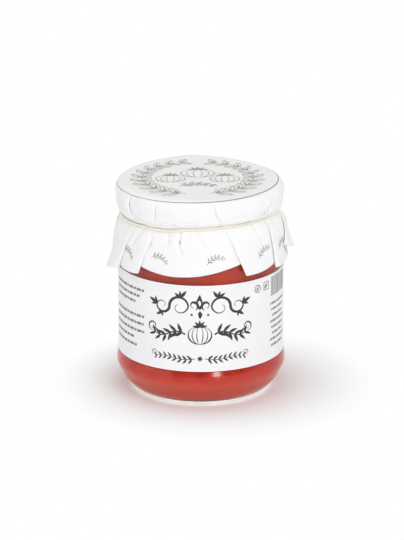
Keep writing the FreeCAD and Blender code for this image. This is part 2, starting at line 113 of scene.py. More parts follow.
def bridge(lower, upper):
    """Faces between two closed rings of point numbers; a ring of one point is a pole."""
    count = max(len(lower), len(upper))
    faces = []
    for i in range(count):
        j = (i + 1) % count
        corners = (lower[i % len(lower)], lower[j % len(lower)],
                   upper[j % len(upper)], upper[i % len(upper)])
        faces.append(tuple(dict.fromkeys(corners)))
    return faces


class Shape:
    """Points and faces gathered from several sources."""

    def __init__(self):
        self.verts = []
        self.faces = []

    def add(self, verts, faces):
        first = len(self.verts)
        self.verts += verts
        self.faces += [tuple(first + i for i in face) for face in faces]

    def loft(self, rings, joined=False, capped=False, downward=False):
        """Skins closed rings of points; the ends can be joined to each other or capped."""
        numbers = []
        for ring in rings:
            numbers.append(range(len(self.verts), len(self.verts) + len(ring)))
            self.verts += ring
        if joined:
            numbers.append(numbers[0])
        for this, following in zip(numbers, numbers[1:]):
            self.faces += bridge(following, this) if downward else bridge(this, following)
        if capped:
            self.faces += [tuple(reversed(numbers[0])), tuple(numbers[-1])]
        return self


def add_object(name, shape, flat=False):
    """A mesh object from a shape in millimetres."""
    mesh = bpy.data.meshes.new(name)
    mesh.from_pydata([(x * MM, y * MM, z * MM) for x, y, z in shape.verts], [], shape.faces)
    mesh.update()
    piece = bpy.data.objects.new(name, mesh)
    bpy.context.scene.collection.objects.link(piece)
    mesh.polygons.foreach_set("use_smooth", [not flat] * len(mesh.polygons))
    return piece


def add_piece(name, slot, material, shape, *nodes, flat=False, merge=0.002, outward=True,
              crease=None):
    """A piece that rides on the body: its mesh with doubled points merged, normals outward and
    edges sharp over the crease angle, its material, and the nodes it stands for. The slot is not
    used."""
    piece = add_object(name, shape, flat)
    mesh = piece.data
    work = bmesh.new()
    work.from_mesh(mesh)
    bmesh.ops.remove_doubles(work, verts=work.verts, dist=merge * MM)
    if outward:
        bmesh.ops.recalc_face_normals(work, faces=work.faces)
    work.to_mesh(mesh)
    work.free()
    mesh.update()
    if crease:
        mesh.set_sharp_from_angle(angle=math.radians(crease))
    mesh.materials.append(material)
    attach(piece, "root")
    if nodes:
        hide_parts(*nodes)
    return piece


def lathe(profile, segments):
    """A profile turned round the axis; a point on the axis becomes a pole."""
    rings = []
    for point in profile:
        turns = 1 if point.real < 1e-6 else segments
        rings.append([polar(point.real, 360 * i / segments, point.imag) for i in range(turns)])
    return Shape().loft(rings)


def rounded(corners, step=6):
    """A profile through (radius, height, rounding) corners, the roundings as short arcs."""
    places = [complex(radius, height) for radius, height, _ in corners]
    points = places[:1]
    for before, here, after, corner in zip(places, places[1:], places[2:], corners[1:]):
        rounding = corner[2]
        if not rounding:
            points.append(here)
            continue
        back, ahead = unit(before - here), unit(after - here)
        half = abs(cmath.phase(ahead / back)) / 2
        centre = here + unit(back + ahead) * rounding / math.sin(half)
        start = here + back * rounding / math.tan(half) - centre
        end = here + ahead * rounding / math.tan(half) - centre
        turn = cmath.phase(end / start)
        count = max(2, round(abs(math.degrees(turn)) / step))
        points += [centre + start * cmath.rect(1, turn * k / count) for k in range(count + 1)]
    return points + places[-1:]


def finer(profile, longest):
    """The profile with its long straight stretches divided."""
    points = profile[:1]
    for before, after in zip(profile, profile[1:]):
        count = max(1, math.ceil(abs(after - before) / longest))
        points += [before + (after - before) * k / count for k in range(1, count + 1)]
    return points


def direction(path, i, closed):
    """Unit vector along a path at its point i."""
    before = path[i - 1] if closed or i else path[i]
    after = path[(i + 1) % len(path)] if closed or i + 1 < len(path) else path[i]
    return (after - before).normalized()


def add_tube(shape, path, radius, sides, closed):
    """A round tube along a path."""
    rings = []
    normal = direction(path, 0, closed).orthogonal().normalized()
    for i, here in enumerate(path):
        along = direction(path, i, closed)
        normal = (normal - along * normal.dot(along)).normalized()
        side = along.cross(normal)
        turn = [2 * math.pi * k / sides for k in range(sides)]
        rings.append([tuple(here + (normal * math.cos(a) + side * math.sin(a)) * radius)
                      for a in turn])
    shape.loft(rings, joined=closed, capped=not closed)


# --- materials -------------------------------------------------------------------

def new_material(name):
    material = bpy.data.materials.new(name)
    material.use_nodes = True
    tree = material.node_tree
    return material, tree, tree.nodes["Principled BSDF"]


def fill(tree, made, inputs):
    """Sets a node's inputs, by name or number, to values, colours or other sockets."""
    for key, value in inputs.items():
        socket = made.inputs[key]
        if isinstance(value, bpy.types.NodeSocket):
            tree.links.new(value, socket)
        else:
            socket.default_value = (*value, 1) if socket.type == "RGBA" else value


def node(tree, kind, inputs=None, **settings):
    made = tree.nodes.new(kind)
    for key, value in settings.items():
        setattr(made, key, value)
    fill(tree, made, inputs or {})
    return made


def place_of(tree):
    return node(tree, "ShaderNodeTexCoord").outputs["Object"]


def height_of(tree, place):
    return node(tree, "ShaderNodeSeparateXYZ", {0: place}).outputs["Z"]


def grain(tree, scale, detail, place):
    """A noise value that varies round 0.5; the scale is in features per metre."""
    made = node(tree, "ShaderNodeTexNoise",
                {"Vector": place, "Scale": scale, "Detail": detail, "Roughness": 0.55})
    return made.outputs["Fac"]


def ramp(tree, value, stops):
    """A colour ramp with (position, colour) stops."""
    made = node(tree, "ShaderNodeValToRGB", {"Fac": value})
    elements = made.color_ramp.elements
    while len(elements) < len(stops):
        elements.new(0.5)
    for element, (position, colour) in zip(elements, stops):
        element.position = position
        element.color = (*colour, 1)
    return made.outputs["Color"]


def span(tree, value, low, high, to_low=0.0, to_high=1.0):
    """Maps a value between two limits, eased and clamped."""
    made = node(tree, "ShaderNodeMapRange",
                {"Value": value, "From Min": low, "From Max": high,
                 "To Min": to_low, "To Max": to_high}, interpolation_type="SMOOTHSTEP")
    return made.outputs["Result"]


def mix(tree, share, first, second):
    return node(tree, "ShaderNodeMix", {0: share, 6: first, 7: second},
                data_type="RGBA").outputs[2]


def maths(tree, operation, *values):
    return node(tree, "ShaderNodeMath", dict(enumerate(values)), operation=operation).outputs[0]


def times(tree, first, second):
    return maths(tree, "MULTIPLY", first, second)


def distance_to(tree, place, point):
    made = node(tree, "ShaderNodeVectorMath", {0: place, 1: point}, operation="DISTANCE")
    return made.outputs["Value"]


def bump(tree, shader, height, distance, strength):
    made = node(tree, "ShaderNodeBump",
                {"Height": height, "Distance": distance * MM, "Strength": strength})
    fill(tree, shader, {"Normal": made.outputs["Normal"]})


def glass_material():
    """Clear flint glass that lets lamps through to what it holds."""
    material, tree, shader = new_material("clear_glass")
    place = place_of(tree)
    fill(tree, shader, {
        "Base Color": (0.985, 0.995, 0.985), "Transmission Weight": 1.0, "IOR": 1.5,
        "Specular IOR Level": 0.35,
        "Roughness": span(tree, grain(tree, 300, 2, place), 0.3, 0.8, 0.15, 0.18)})
    bump(tree, shader, grain(tree, 60, 1, place), 0.04, 0.08)
    path = node(tree, "ShaderNodeLightPath")
    clear = node(tree, "ShaderNodeBsdfTransparent", {"Color": (0.97, 0.98, 0.97)})
    both = node(tree, "ShaderNodeMixShader", {0: path.outputs["Is Shadow Ray"],
                                             1: shader.outputs[0], 2: clear.outputs[0]})
    fill(tree, tree.nodes["Material Output"], {"Surface": both.outputs[0]})
    return material


def sauce_material():
    """Cooked tomato: brick red with paler pulp, orange oil and a few dark herb flecks. It is painted
    paler at the foot, where the heel faces the shaded floor, and above the label, in the cover's
    shadow: painted light."""
    material, tree, shader = new_material("tomato_sauce")
    place = place_of(tree)
    height = height_of(tree, place)
    pulp = grain(tree, 210, 6, place)
    # foot and above lighten the colour low down and above the label: painted light against shade, not
    # a change in the sauce.
    foot = span(tree, height, 12.0 * MM, 9.0 * MM)
    above = span(tree, height, 50.0 * MM, 56.0 * MM)
    streaks = node(tree, "ShaderNodeMapping", {"Vector": place, "Scale": (1, 1, 0.22)})
    oil = span(tree, grain(tree, 620, 3, streaks.outputs[0]), 0.62, 0.74)
    flecks = node(tree, "ShaderNodeTexVoronoi", {"Vector": place, "Scale": 260.0})
    herb = span(tree, flecks.outputs["Distance"], 0.14, 0.08)
    colour = ramp(tree, pulp, [(0.30, (0.60, 0.018, 0.003)), (0.50, (0.69, 0.027, 0.005)),
                               (0.68, (0.76, 0.045, 0.009))])
    for share, strength, other in ((foot, 0.9, (0.78, 0.105, 0.055)),
                                   (above, 0.7, (0.82, 0.085, 0.024)),
                                   (oil, 0.45, (0.72, 0.130, 0.018)),
                                   (herb, 0.35, (0.20, 0.035, 0.012))):
        colour = mix(tree, times(tree, share, strength), colour, other)
    fill(tree, shader, {
        "Base Color": colour, "Roughness": span(tree, pulp, 0.3, 0.7, 0.35, 0.55),
        "Specular IOR Level": 0.06, "Subsurface Weight": 0.6,
        "Subsurface Radius": (1.0, 0.35, 0.2), "Subsurface Scale": 2.5 * MM})
    bump(tree, shader, pulp, 0.25, 0.5)
    return material


def frost_and_glow_material():
    """Stippled glass that looks milky, with a faint painted glow: its emission stands in for light
    piped through the thick base.
    """
    material, tree, shader = new_material("stippled_glass_and_glow")
    place = place_of(tree)
    cloud = grain(tree, 330, 3, place)
    speck = span(tree, grain(tree, 520, 2, place), 0.66, 0.72)
    base = mix(tree, span(tree, cloud, 0.35, 0.65), (0.86, 0.83, 0.79), (0.95, 0.93, 0.90))
    base = mix(tree, times(tree, speck, 0.8), base, (0.36, 0.25, 0.22))
    # The emission is painted light: the band glows a little so that the line along the foot looks
    # bright.
    fill(tree, shader, {"Base Color": base, "Emission Color": base, "Emission Strength": 0.22,
                        "Roughness": span(tree, cloud, 0.3, 0.7, 0.35, 0.6)})
    bump(tree, shader, cloud, 0.03, 0.3)
    return material


def surface_material(name, colours, cloud, fine, rough, relief, tint=None, **more):
    """An opaque surface. Two colours are mixed by a broad grain of (scale, detail, low, high);
    a fine one of (scale, detail) gives the roughness between two values, and relief of (depth,
    strength). tint(tree, place, colour) can add a printed field."""
    material, tree, shader = new_material(name)
    place = place_of(tree)
    scale, detail, low, high = cloud
    base = mix(tree, span(tree, grain(tree, scale, detail, place), low, high), *colours)
    if tint:
        base = tint(tree, place, base)
    fibre = grain(tree, *fine, place)
    fill(tree, shader, {"Base Color": base,
                        "Roughness": span(tree, fibre, 0.3, 0.7, *rough)})
    fill(tree, shader, {key.replace("_", " "): value for key, value in more.items()})
    bump(tree, shader, fibre, *relief)
    return material


def paper_material(name, colour, tint, rough):
    """Uncoated paper with faint fibres."""
    duller = tuple(c * 0.975 for c in colour)
    return surface_material(name, (duller, colour), (90, 2, 0.3, 0.7), (1500, 5),
                            (rough - 0.06, rough + 0.08), (0.03, 0.35), tint,
                            Specular_IOR_Level=0.35)


def ink_material(name, colour):
    paler = tuple(min(1.0, c * 1.35 + 0.01) for c in colour)
    return surface_material(name, (colour, paler), (900, 3, 0.45, 0.75), (900, 3),
                            (0.45, 0.6), (0.01, 0.3), Specular_IOR_Level=0.3)


def string_material():
    """Natural cotton: cream, with a fine fuzz of fibres along the strands."""
    return surface_material("cotton_string", ((0.95, 0.87, 0.69), (0.99, 0.95, 0.82)),
                            (260, 3, 0.3, 0.7), (4200, 5), (0.75, 0.95), (0.08, 0.7),
                            Sheen_Weight=0.3)


def lid_material():
    """White lacquered tinplate."""
    material, tree, shader = new_material("lacquered_tinplate")
    place = place_of(tree)
    peel = grain(tree, 700, 2, place)
    base = mix(tree, grain(tree, 120, 2, place), (0.83, 0.82, 0.79), (0.88, 0.87, 0.85))
    fill(tree, shader, {"Base Color": base, "Coat Weight": 0.4,
                        "Roughness": span(tree, peel, 0.3, 0.7, 0.22, 0.34)})
    bump(tree, shader, peel, 0.02, 0.3)
    return material


# --- glass, sauce and lid --------------------------------------------------------

GLASS_SEGMENTS = 240
SAUCE_SEGMENTS = 200
LID_SEGMENTS = 120
WALL = 2.4
FLOOR_HEIGHT = 4.2
FLOOR_DIP = dict(drop=0.8, run=6.0)
HEEL = dict(radius=14.0, turn=60.0, foot=1.5, foot_width=1.6)
NECK = dict(radius=30.6, wall=3.2, height=13.15, shoulder=6.5, blend=5.0)
LUG = dict(depth=1.1, drop=6.95, width=2.6, slope=0.9)
RIM = dict(wall=2.5, rounding=0.8)
PUSH_UP = dict(rise=1.2, run=5.0)
INSIDE = dict(heel=11.0, foot=3.0)
BEAD = dict(swell=0.80, run=5.0, low=6.5)       # the wall's swell just under the label
HEADSPACE = 9.0
SAUCE_BITE = 0.08           # how far the sauce reaches into the wall
NECK_START = RIM_HEIGHT - NECK["height"]
SHOULDER_START = NECK_START - NECK["shoulder"]
BORE = NECK["radius"] - NECK["wall"]


def heel_cone(upper, lower):
    """Run inward and height of the cone between the two roundings of the heel."""
    turn = math.radians(HEEL["turn"])
    length = upper * math.tan(turn / 2) + lower * math.tan((math.pi / 2 - turn) / 2) + 0.3
    return length * math.sin(turn), length * math.cos(turn)


def inside_corners(grow=0.0):
    """The jar's inside from the floor up to the rim, grown outward by a little."""
    side = BODY_RADIUS - WALL + grow
    run, rise = heel_cone(INSIDE["heel"], INSIDE["foot"])
    floor = FLOOR_HEIGHT - grow
    dip = floor - FLOOR_DIP["drop"]
    return [
        (0, floor, 0),
        (side - run - FLOOR_DIP["run"], floor, 6.0),
        (side - run, dip, INSIDE["foot"]),
        (side, dip + rise, INSIDE["heel"]),
        (side, SHOULDER_START - WALL * 0.2, NECK["blend"]),
        (BORE + grow, NECK_START + WALL * 0.2, 1.5),
        (BORE + grow, RIM_HEIGHT, RIM["rounding"]),
    ]


def outside_corners():
    """The jar's outside from the middle of the underside up to the rim."""
    run, rise = heel_cone(HEEL["radius"], HEEL["foot"])
    foot_out = BODY_RADIUS - run
    foot_in = foot_out - HEEL["foot_width"]
    lug_low = RIM_HEIGHT - LUG["drop"]
    lug_top = lug_low + LUG["width"]
    lug = NECK["radius"] + LUG["depth"]
    rim = BORE + RIM["wall"]
    return [
        (0, PUSH_UP["rise"], 0),
        (foot_in - PUSH_UP["run"], PUSH_UP["rise"], 3.0),
        (foot_in, 0, HEEL["foot_width"] / 4),
        (foot_out, 0, HEEL["foot"]),
        (BODY_RADIUS, rise, HEEL["radius"]),
        (BODY_RADIUS, SHOULDER_START, NECK["blend"]),
        (NECK["radius"], NECK_START, 1.5),
        (NECK["radius"], lug_low - LUG["slope"], 0.4),
        (lug, lug_low, 0.4),
        (lug, lug_top, 0.4),
        (rim, lug_top + LUG["slope"], 0.4),
        (rim, RIM_HEIGHT, RIM["rounding"]),
    ]


def beaded(profile):
    """The profile with the wall's swell between the heel and the label."""
    points = []
    for point in profile:
        if point.real > BODY_RADIUS - 3:
            down = share_of((LABEL_LOW.z - 0.1 - point.imag) / BEAD["run"])
            raised = smooth((point.imag - BEAD["low"]) / BEAD["run"])
            point += BEAD["swell"] * (1 - (1 - down) ** 2) * raised
        points.append(point)
    return points


def build_glass(material):
    outside = beaded(finer(rounded(outside_corners(), 3), 0.8))
    inside = finer(rounded(inside_corners(), 4), 1.2)
    shape = lathe(outside + inside[::-1], GLASS_SEGMENTS)
    add_mould_dots(shape, outside)
    add_piece("glass_wall", "glass", material, shape, "glass_jar")


MOULD_DOTS = (-69.0, -56.5, -44.0, -37.5, -31.0, 111.0, 123.5, 136.0, 142.5, 148.0)
MOULD_DOT = dict(height=6.4, radius=0.42)


def add_mould_dots(shape, outside):
    """The row of small raised code dots low on the heel."""
    heel = [point for point in outside if point.real >= 20]
    radius = min(heel, key=lambda point: abs(point.imag - MOULD_DOT["height"])).real
    for azimuth in MOULD_DOTS:
        centre = Vector(polar(radius, azimuth, MOULD_DOT["height"]))
        ball = bmesh.new()
        bmesh.ops.create_icosphere(ball, subdivisions=2, radius=MOULD_DOT["radius"])
        shape.add([tuple(v.co + centre) for v in ball.verts],
                  [tuple(v.index for v in f.verts) for f in ball.faces])
        ball.free()


STIPPLE = dict(low=0.03, high=1.6, lift=0.03, bump=0.07, count=150)


def build_stipple(material):
    """The fine knurl that is moulded into the jar's foot, as a frosted band on the glass."""
    band = [point for point in finer(rounded(outside_corners(), 3), 0.12)
            if point.real > BODY_RADIUS - 12 and STIPPLE["low"] <= point.imag <= STIPPLE["high"]]
    turns = STIPPLE["count"] * 8
    rings = []
    for row, point in enumerate(band):
        rise = STIPPLE["bump"] * math.sin(math.pi * row / (len(band) - 1))
        ring = []
        for k in range(turns):
            knob = abs(math.sin(math.pi * STIPPLE["count"] * k / turns + 0.5 * row))
            radius = point.real + STIPPLE["lift"] + rise * knob
            ring.append(polar(radius, 360 * k / turns, point.imag))
        rings.append(ring)
    add_piece("foot_stipple", "glass", material, Shape().loft(rings), outward=False)


def build_sauce(material):
    level = RIM_HEIGHT - HEADSPACE
    inside = [point for point in finer(rounded(inside_corners(SAUCE_BITE), 4), 1.5)
              if point.imag < level]
    bore = inside[-1].real
    top = [complex(bore - inward, level + climb)
           for inward, climb in ((0, 0.5), (0.6, 0.1), (1.6, 0), (bore, 0))]
    add_piece("sauce_fill", "sauce", material,
              lathe(inside + finer(top, 3.0), SAUCE_SEGMENTS), "sauce")


LID_STEEL = 0.25
LID_SHOULDER = 5.2          # the soft shoulder at the lid's top edge, hidden under the paper


def build_lid(material):
    """The twist-off lid: a pressed steel cup with a curled lower edge."""
    top = LID_HIGH.z - 0.1
    inner = LID_RADIUS - LID_STEEL
    corners = [(0, top - LID_STEEL, 0), (inner, top - LID_STEEL, LID_SHOULDER - LID_STEEL),
               (inner, LID_EDGE + 0.6, 0.1), (inner - 0.6, LID_EDGE, 0.15),
               (LID_RADIUS, LID_EDGE, 0.3), (LID_RADIUS, top, LID_SHOULDER), (0, top, 0)]
    add_piece("steel_lid", "lid", material, lathe(finer(rounded(corners), 2.0), LID_SEGMENTS),
              "lid", crease=40)


# --- label -----------------------------------------------------------------------

LABEL_PAPER = 0.12
LABEL_LAP = 14.0            # degrees that the ends overlap at the back
LABEL_SEGMENTS = 360
LABEL_EDGE = 0.05
PRINT_LIFT = 0.018


def build_label(material):
    """A strip of paper round the wall, its ends lapped at the back."""
    low, high = LABEL_LOW.z, LABEL_HIGH.z
    rings = []
    for i in range(LABEL_SEGMENTS + 1):
        turn = (360 + LABEL_LAP) * i / LABEL_SEGMENTS
        near = LABEL_RADIUS - LABEL_PAPER + smooth((turn - 356) / 3) * (LABEL_PAPER + 0.03)
        section = [(near, low), (near, high)]
        section += [(near + LABEL_PAPER, z)
                    for z in (high, high - LABEL_EDGE, low + LABEL_EDGE, low)]
        rings.append([polar(radius, 180 - LABEL_LAP / 2 + turn, z) for radius, z in section])
    add_piece("wrap_label", "label", material, Shape().loft(rings, capped=True), "label",
              crease=40)


def label_tint(tree, place, base):
    """The printed field is a touch bluer than the bare margins at the two long edges."""
    height = height_of(tree, place)
    low = span(tree, height, (LABEL_LOW.z + 0.45) * MM, (LABEL_LOW.z + 0.6) * MM)
    high = span(tree, height, (LABEL_HIGH.z - 0.45) * MM, (LABEL_HIGH.z - 0.6) * MM)
    return mix(tree, times(tree, low, high), (0.95, 0.95, 0.955), base)


# --- print: strokes and filled shapes on a flat sheet ----------------------------

BAR_PART = 0.8              # longest part of a bar, so that it follows a curved sheet
LEAF_STEPS = 10
BLOB_SIDES = 14


class Print:
    """Flat ink shapes in a sheet's own millimetres, laid on a surface later."""

    def __init__(self):
        self.points = []
        self.faces = []

    def strip(self, pairs):
        """A band of faces through pairs of points, the left one first."""
        first = len(self.points)
        for pair in pairs:
            self.points += pair
        self.faces += [(a, a + 1, a + 3, a + 2) for a in range(first, len(self.points) - 2, 2)]

    def stroke(self, path, width):
        """A ribbon along a path; width is a number or a function of the share along it."""
        last = len(path) - 1
        pairs = []
        for i, here in enumerate(path):
            along = unit(path[min(i + 1, last)] - path[max(i - 1, 0)])
            half = 1j * along * (width(i / last) if callable(width) else width) / 2
            pairs.append((here + half, here - half))
        self.strip(pairs)

    def blob(self, centre, radius, squash=1.0):
        """A filled ellipse."""
        first = len(self.points)
        for k in range(BLOB_SIDES):
            step = radius * ray(360 * k / BLOB_SIDES)
            self.points.append(centre + complex(step.real, step.imag * squash))
        self.faces.append(tuple(range(first, first + BLOB_SIDES)))

    def leaf(self, root, heading, length, width, line=0.0):
        """A pointed leaf, filled, or in outline with a midrib."""
        def at(t, side):
            bulge = side * width / 2 * math.sin(math.pi * t ** 0.8)
            return root + ray(heading) * complex(length * t, bulge + 0.12 * length * t * (1 - t))

        shares = [k / LEAF_STEPS for k in range(LEAF_STEPS + 1)]
        if not line:
            self.strip([(at(t, 1), at(t, -1)) for t in shares])
            return
        for side, reach, pen in ((1, 1, 1), (-1, 1, 1), (0, 0.85, 0.8)):
            self.stroke([at(t * reach, side) for t in shares], line * pen)

    def bar(self, left, level, length, height, slope=0.0):
        """A bar, upright or slanted, in short parts."""
        parts = max(1, math.ceil(length / BAR_PART))
        first = len(self.points)
        for k in range(parts + 1):
            foot = complex(left + length * k / parts, level)
            self.points += [foot, foot + complex(slope, 1) * height]
        self.faces += [(a, a + 2, a + 3, a + 1) for a in range(first, first + 2 * parts, 2)]

    def lay(self, shape, surface):
        """Adds the print to a shape, each point through surface(right, up)."""
        shape.add([surface(point.real, point.imag) for point in self.points], self.faces)


def swell_width(thick, thin):
    """A pen's width along a stroke: thin at both ends and thick in the first half."""
    return lambda t: thin + (thick - thin) * math.sin(math.pi * min(1.0, t * 1.25) ** 0.8) ** 2


def spiral(centre, radius, start, sense, turns, fade):
    """Half a turn at full radius, then inward."""
    count = max(24, int(turns * 30))
    points = []
    for k in range(count + 1):
        t = k / count
        inward = max(0.0, t - 0.5 / turns) / (1 - 0.5 / turns)
        reach = radius * (1 - fade * inward ** 0.85)
        points.append(centre + reach * ray(start + sense * 360 * t * turns))
    return points


def mirrored(middle, side, point):
    return complex(middle + side * point.real, point.imag)


def add_leaves(ink, at, places, ahead, tilt, size, slim, line=0.0):
    """Pairs of leaves along a path, turned from its heading by the tilt."""
    for t in places:
        heading = math.degrees(cmath.phase(at(t + ahead) - at(t)))
        for side in (-1, 1):
            ink.leaf(at(t), heading + side * tilt, size(t), size(t) * slim, line)


def tomato(ink, centre, radius, line):
    """A ribbed tomato in outline, with its star of sepals."""
    for rib, start, end in ((1.0, 0, 180), (0.66, 14, 168), (0.26, 24, 160)):
        turn = [math.radians(start + (end - start) * k / 20) for k in range(21)]
        pen = swell_width(line * (1.6 if rib == 1 else 1), line * 0.5)
        for side in (-1, 1):
            ink.stroke([centre + radius * complex(side * 1.1 * rib * math.sin(a),
                                                  -0.9 * math.cos(a)) for a in turn], pen)
    for heading in (12, 52, 90, 128, 168):
        ink.leaf(centre + 0.78j * radius, heading, radius * 0.72, radius * 0.26)


# Leaves at the turns of a scroll: right, up, length, width, and each one's heading and share.
SCROLL_LEAVES = (
    (7.6, 3.8, 4.2, 1.5, ((34, 0.8), (80, 0.7), (128, 0.9))),
    (15.6, -2.7, 3.8, 1.4, ((-30, 0.9), (-84, 0.6))),
    (17.9, 0.6, 4.2, 1.5, ((70, 0.7), (26, 1.0), (-14, 0.7))),
)


def scrolls(ink, centre, thick):
    """A small fleur between two S-shaped scrolls with leaves at their turns."""
    middle, level = centre.real, centre.imag
    for side in (-1, 1):
        inner = spiral(complex(8.6, level), 3.9, 0, 1, 1.15, 0.8)
        outer = spiral(complex(15.3, level), 2.8, 180, 1, 1.1, 0.8)
        ink.stroke([mirrored(middle, side, point) for point in inner[::-1] + outer[1:]],
                   lambda t: thick * (0.2 + 0.8 * math.sin(math.pi * t) ** 3))
        for right, up, length, width, leaves in SCROLL_LEAVES:
            root = mirrored(middle, side, complex(right, level + up))
            for heading, share in leaves:
                ink.leaf(root, heading if side > 0 else 180 - heading,
                         length * share, width * share)
        curl = spiral(complex(2.5, level + 0.4), 1.7, 250, -1, 0.95, 0.7)
        ink.stroke([mirrored(middle, side, point) for point in curl], swell_width(thick, 0.25))
        ink.blob(centre + complex(side * 3.3, -3.2), thick * 0.42)
    ink.leaf(centre - 1.2j, 90, 6.6, 2.6)
    ink.leaf(centre - 1.6j, -90, 3.4, 1.7)


def laurel(ink, centre, near, far, wave, leaf, pairs, thick):
    """Two waving laurel branches that run outward from the middle and end in a curl."""
    middle, level = centre.real, centre.imag
    for side in (-1, 1):
        def at(t, side=side):
            return centre + complex(side * (near + (far - near) * t),
                                    -wave * math.sin(2 * math.pi * t))

        ink.stroke([at(k / 40) for k in range(41)], lambda t: thick * (1 - 0.5 * t))
        add_leaves(ink, at, [(k + 0.6) / pairs for k in range(pairs)], 0.01, 44,
                   lambda t: leaf * (1 - 0.25 * t), 0.31)
        curl = spiral(complex(far + leaf * 0.1, level + leaf * 0.42), leaf * 0.42, 270, 1, 1.2, 0.7)
        ink.stroke([mirrored(middle, side, point) for point in curl],
                   swell_width(thick * 0.9, thick * 0.3))


def rosette(ink, centre, leaf, thick):
    for heading in range(22, 360, 45):
        ink.leaf(centre, heading, leaf, leaf * 0.34)
    ink.blob(centre, thick * 0.5)


def sprig(ink, centre, length, lean, thick, leaf, slim, line=0.0):
    """A bent stem with five pairs of leaves and a bud at its tip."""
    def at(t):
        return centre + length * ray(lean) * complex(t - 0.5, 0.22 * math.sin(math.pi * t) - 0.1)

    ink.stroke([at(k / 16) for k in range(17)], lambda t: thick * (1 - 0.5 * t))
    add_leaves(ink, at, [(k + 0.7) / 5.6 for k in range(5)], 0.03, 48,
               lambda t: length * leaf * (1 - 0.35 * t), slim, line)
    ink.blob(at(1), thick * 1.1, 0.8)


def branch(ink, centre, radius, start, end, leaves, leaf, line):
    """A leafy branch along an arc, its leaves in outline with a midrib."""
    def at(t):
        return centre - 1j * radius * ray(start + (end - start) * t)

    ink.stroke([at(k / 36) for k in range(37)], lambda t: line * (1.5 - 0.7 * t))
    places = [(k + 0.5) / leaves for k in range(leaves)]
    for scale, slim, pen in ((1.0, 0.46, line), (0.62, 0.16 / 0.62, 0.0)):
        add_leaves(ink, at, places, 0.01, 42,
                   lambda t, scale=scale: scale * leaf * (1 - 0.3 * t), slim, pen)


def add_print(name, material, shape):
    add_piece(name, "ink", material, shape, flat=True, outward=False)


def on_label(right, up):
    """A point on the label's face, right and up from the middle of the front."""
    return polar(LABEL_RADIUS + PRINT_LIFT, math.degrees(right / LABEL_RADIUS), up)


def greeked(ink, left, width, level, height, seed):
    """A line of small print as slanted dashes."""
    start = left
    k = 0
    while start < left + width - 0.3:
        length = min(left + width - start, 0.9 + 1.9 * abs(math.sin(seed * 3.1 + k * 1.7)))
        ink.bar(start, level, length, height, 0.3)
        start += length + 0.45
        k += 1


TITLE_MIDDLE = -0.4


def build_label_ornament(material):
    """Generic ornament in place of the title: scrolls, laurel round a tomato, small laurel."""
    title = Print()
    scrolls(title, complex(TITLE_MIDDLE, 43.6), 1.15)
    tomato(title, complex(TITLE_MIDDLE, 31.8), 4.3, 0.4)
    laurel(title, complex(TITLE_MIDDLE, 32.0), 5.9, 19.6, -1.1, 4.5, 6, 0.7)
    laurel(title, complex(TITLE_MIDDLE, 21.8), 2.0, 19.0, 0.5, 2.8, 8, 0.34)
    rosette(title, complex(TITLE_MIDDLE, 21.8), 1.35, 0.3)
    shape = Shape()
    title.lay(shape, on_label)
    add_print("label_ornament", material, shape)


LEFT_CUTS = (0, 0.6, 0.3, 6.4, 4.8)     # how much shorter each lower line at the left is


def build_small_print(material):
    """A leaf in a ring, a leaf in a square, bars and greeked lines at the label's two sides."""
    marks = Print()
    marks.stroke([25.0 + 48.5j + 1.45 * ray(12 * k) for k in range(31)], 0.42)
    marks.leaf(24.3 + 47.7j, 48, 2.1, 0.9)
    for k in range(2):
        marks.bar(28.4, 46.9 + 3.2 * k, 3.4, 0.3)
        marks.bar(28.4 + 3.1 * k, 46.9, 0.3, 3.5)
    marks.leaf(29.0 + 47.5j, 50, 2.9, 1.2)
    edge = 33.6
    for k in range(20):
        width = 0.16 + 0.34 * abs(math.sin(1.9 * k + 0.4))
        marks.bar(edge, 43.3, width, 8.2)
        edge += width + 0.14 + 0.25 * abs(math.sin(2.7 * k))
    for k in range(8):
        greeked(marks, 32.8 + 0.8 * (k % 3), 13.5 - 1.9 * (k % 3), 39.6 - 2.55 * k, 0.95, k)
    for k in range(3):
        greeked(marks, -46.5, 21.3 - 2.6 * k, 47.0 - 2.75 * k, 1.05, k + 11)
    for k, cut in enumerate(LEFT_CUTS):
        greeked(marks, -47.5, 22.6 - cut, 35.9 - 3.2 * k, 1.05, k + 21)
    shape = Shape()
    marks.lay(shape, on_label)
    add_print("label_small_print", material, shape)


# --- paper cover -----------------------------------------------------------------

# A pleat: its azimuth beside the lid, at the string and at the hem; the side of its edge that
# the upper layer lies on; how far the panel after it hangs above the usual hem, and where
# across that panel its lowest point is; the fold's height on the cap, as a share of the usual
# one; how wide its rounded edge is, and the share of the height that is left at the very edge.
# Some have a height of their own at the hem, a slant of the panel's hem, a flare of the panel
# as (reach, share across where it is full, share over which it falls), or a deeper tuck.
Pleat = namedtuple("Pleat", "rim tied hem side rise low cap_fold roll edge "
                   "hem_fold tilt flare tuck", defaults=(1.0, 0.0, None, 1.0))
FRONT_PLEATS = (
    Pleat(-55.0, -50.5, -66.5, "left", -0.2, 0.50, 2.2, 1.5, 0.2),
    Pleat(-31.5, -33.0, -44.0, "left", 1.35, 0.37, 1.7, 1.0, 0.3),
    Pleat(10.7, 18.0, 30.0, "right", 0.9, 0.08, 1.5, 0.6, 0.6, hem_fold=0.8),
    Pleat(55.0, 54.0, 56.0, "right", 0.4, 0.95, 0.3, 0.8, 0.55, hem_fold=0.9),
    Pleat(80.0, 84.0, 70.0, "right", 4.2, 0.50, 0.1, 0.7, 0.5, hem_fold=0.9, tilt=-0.26,
          flare=(1.5, 0.02, 0.6), tuck=2.6),
)
LEFT_FLAP = dict(rise=-3.4, low=0.30, tilt=0.08, flare=(1.7, 0.35, 0.40))
BACK_PLEATS = 8
FLAP_WIDTH = 43.0           # degrees of the broad flap at the left
BACK_STRAY = 3.5
BACK_SLANT = 6.0
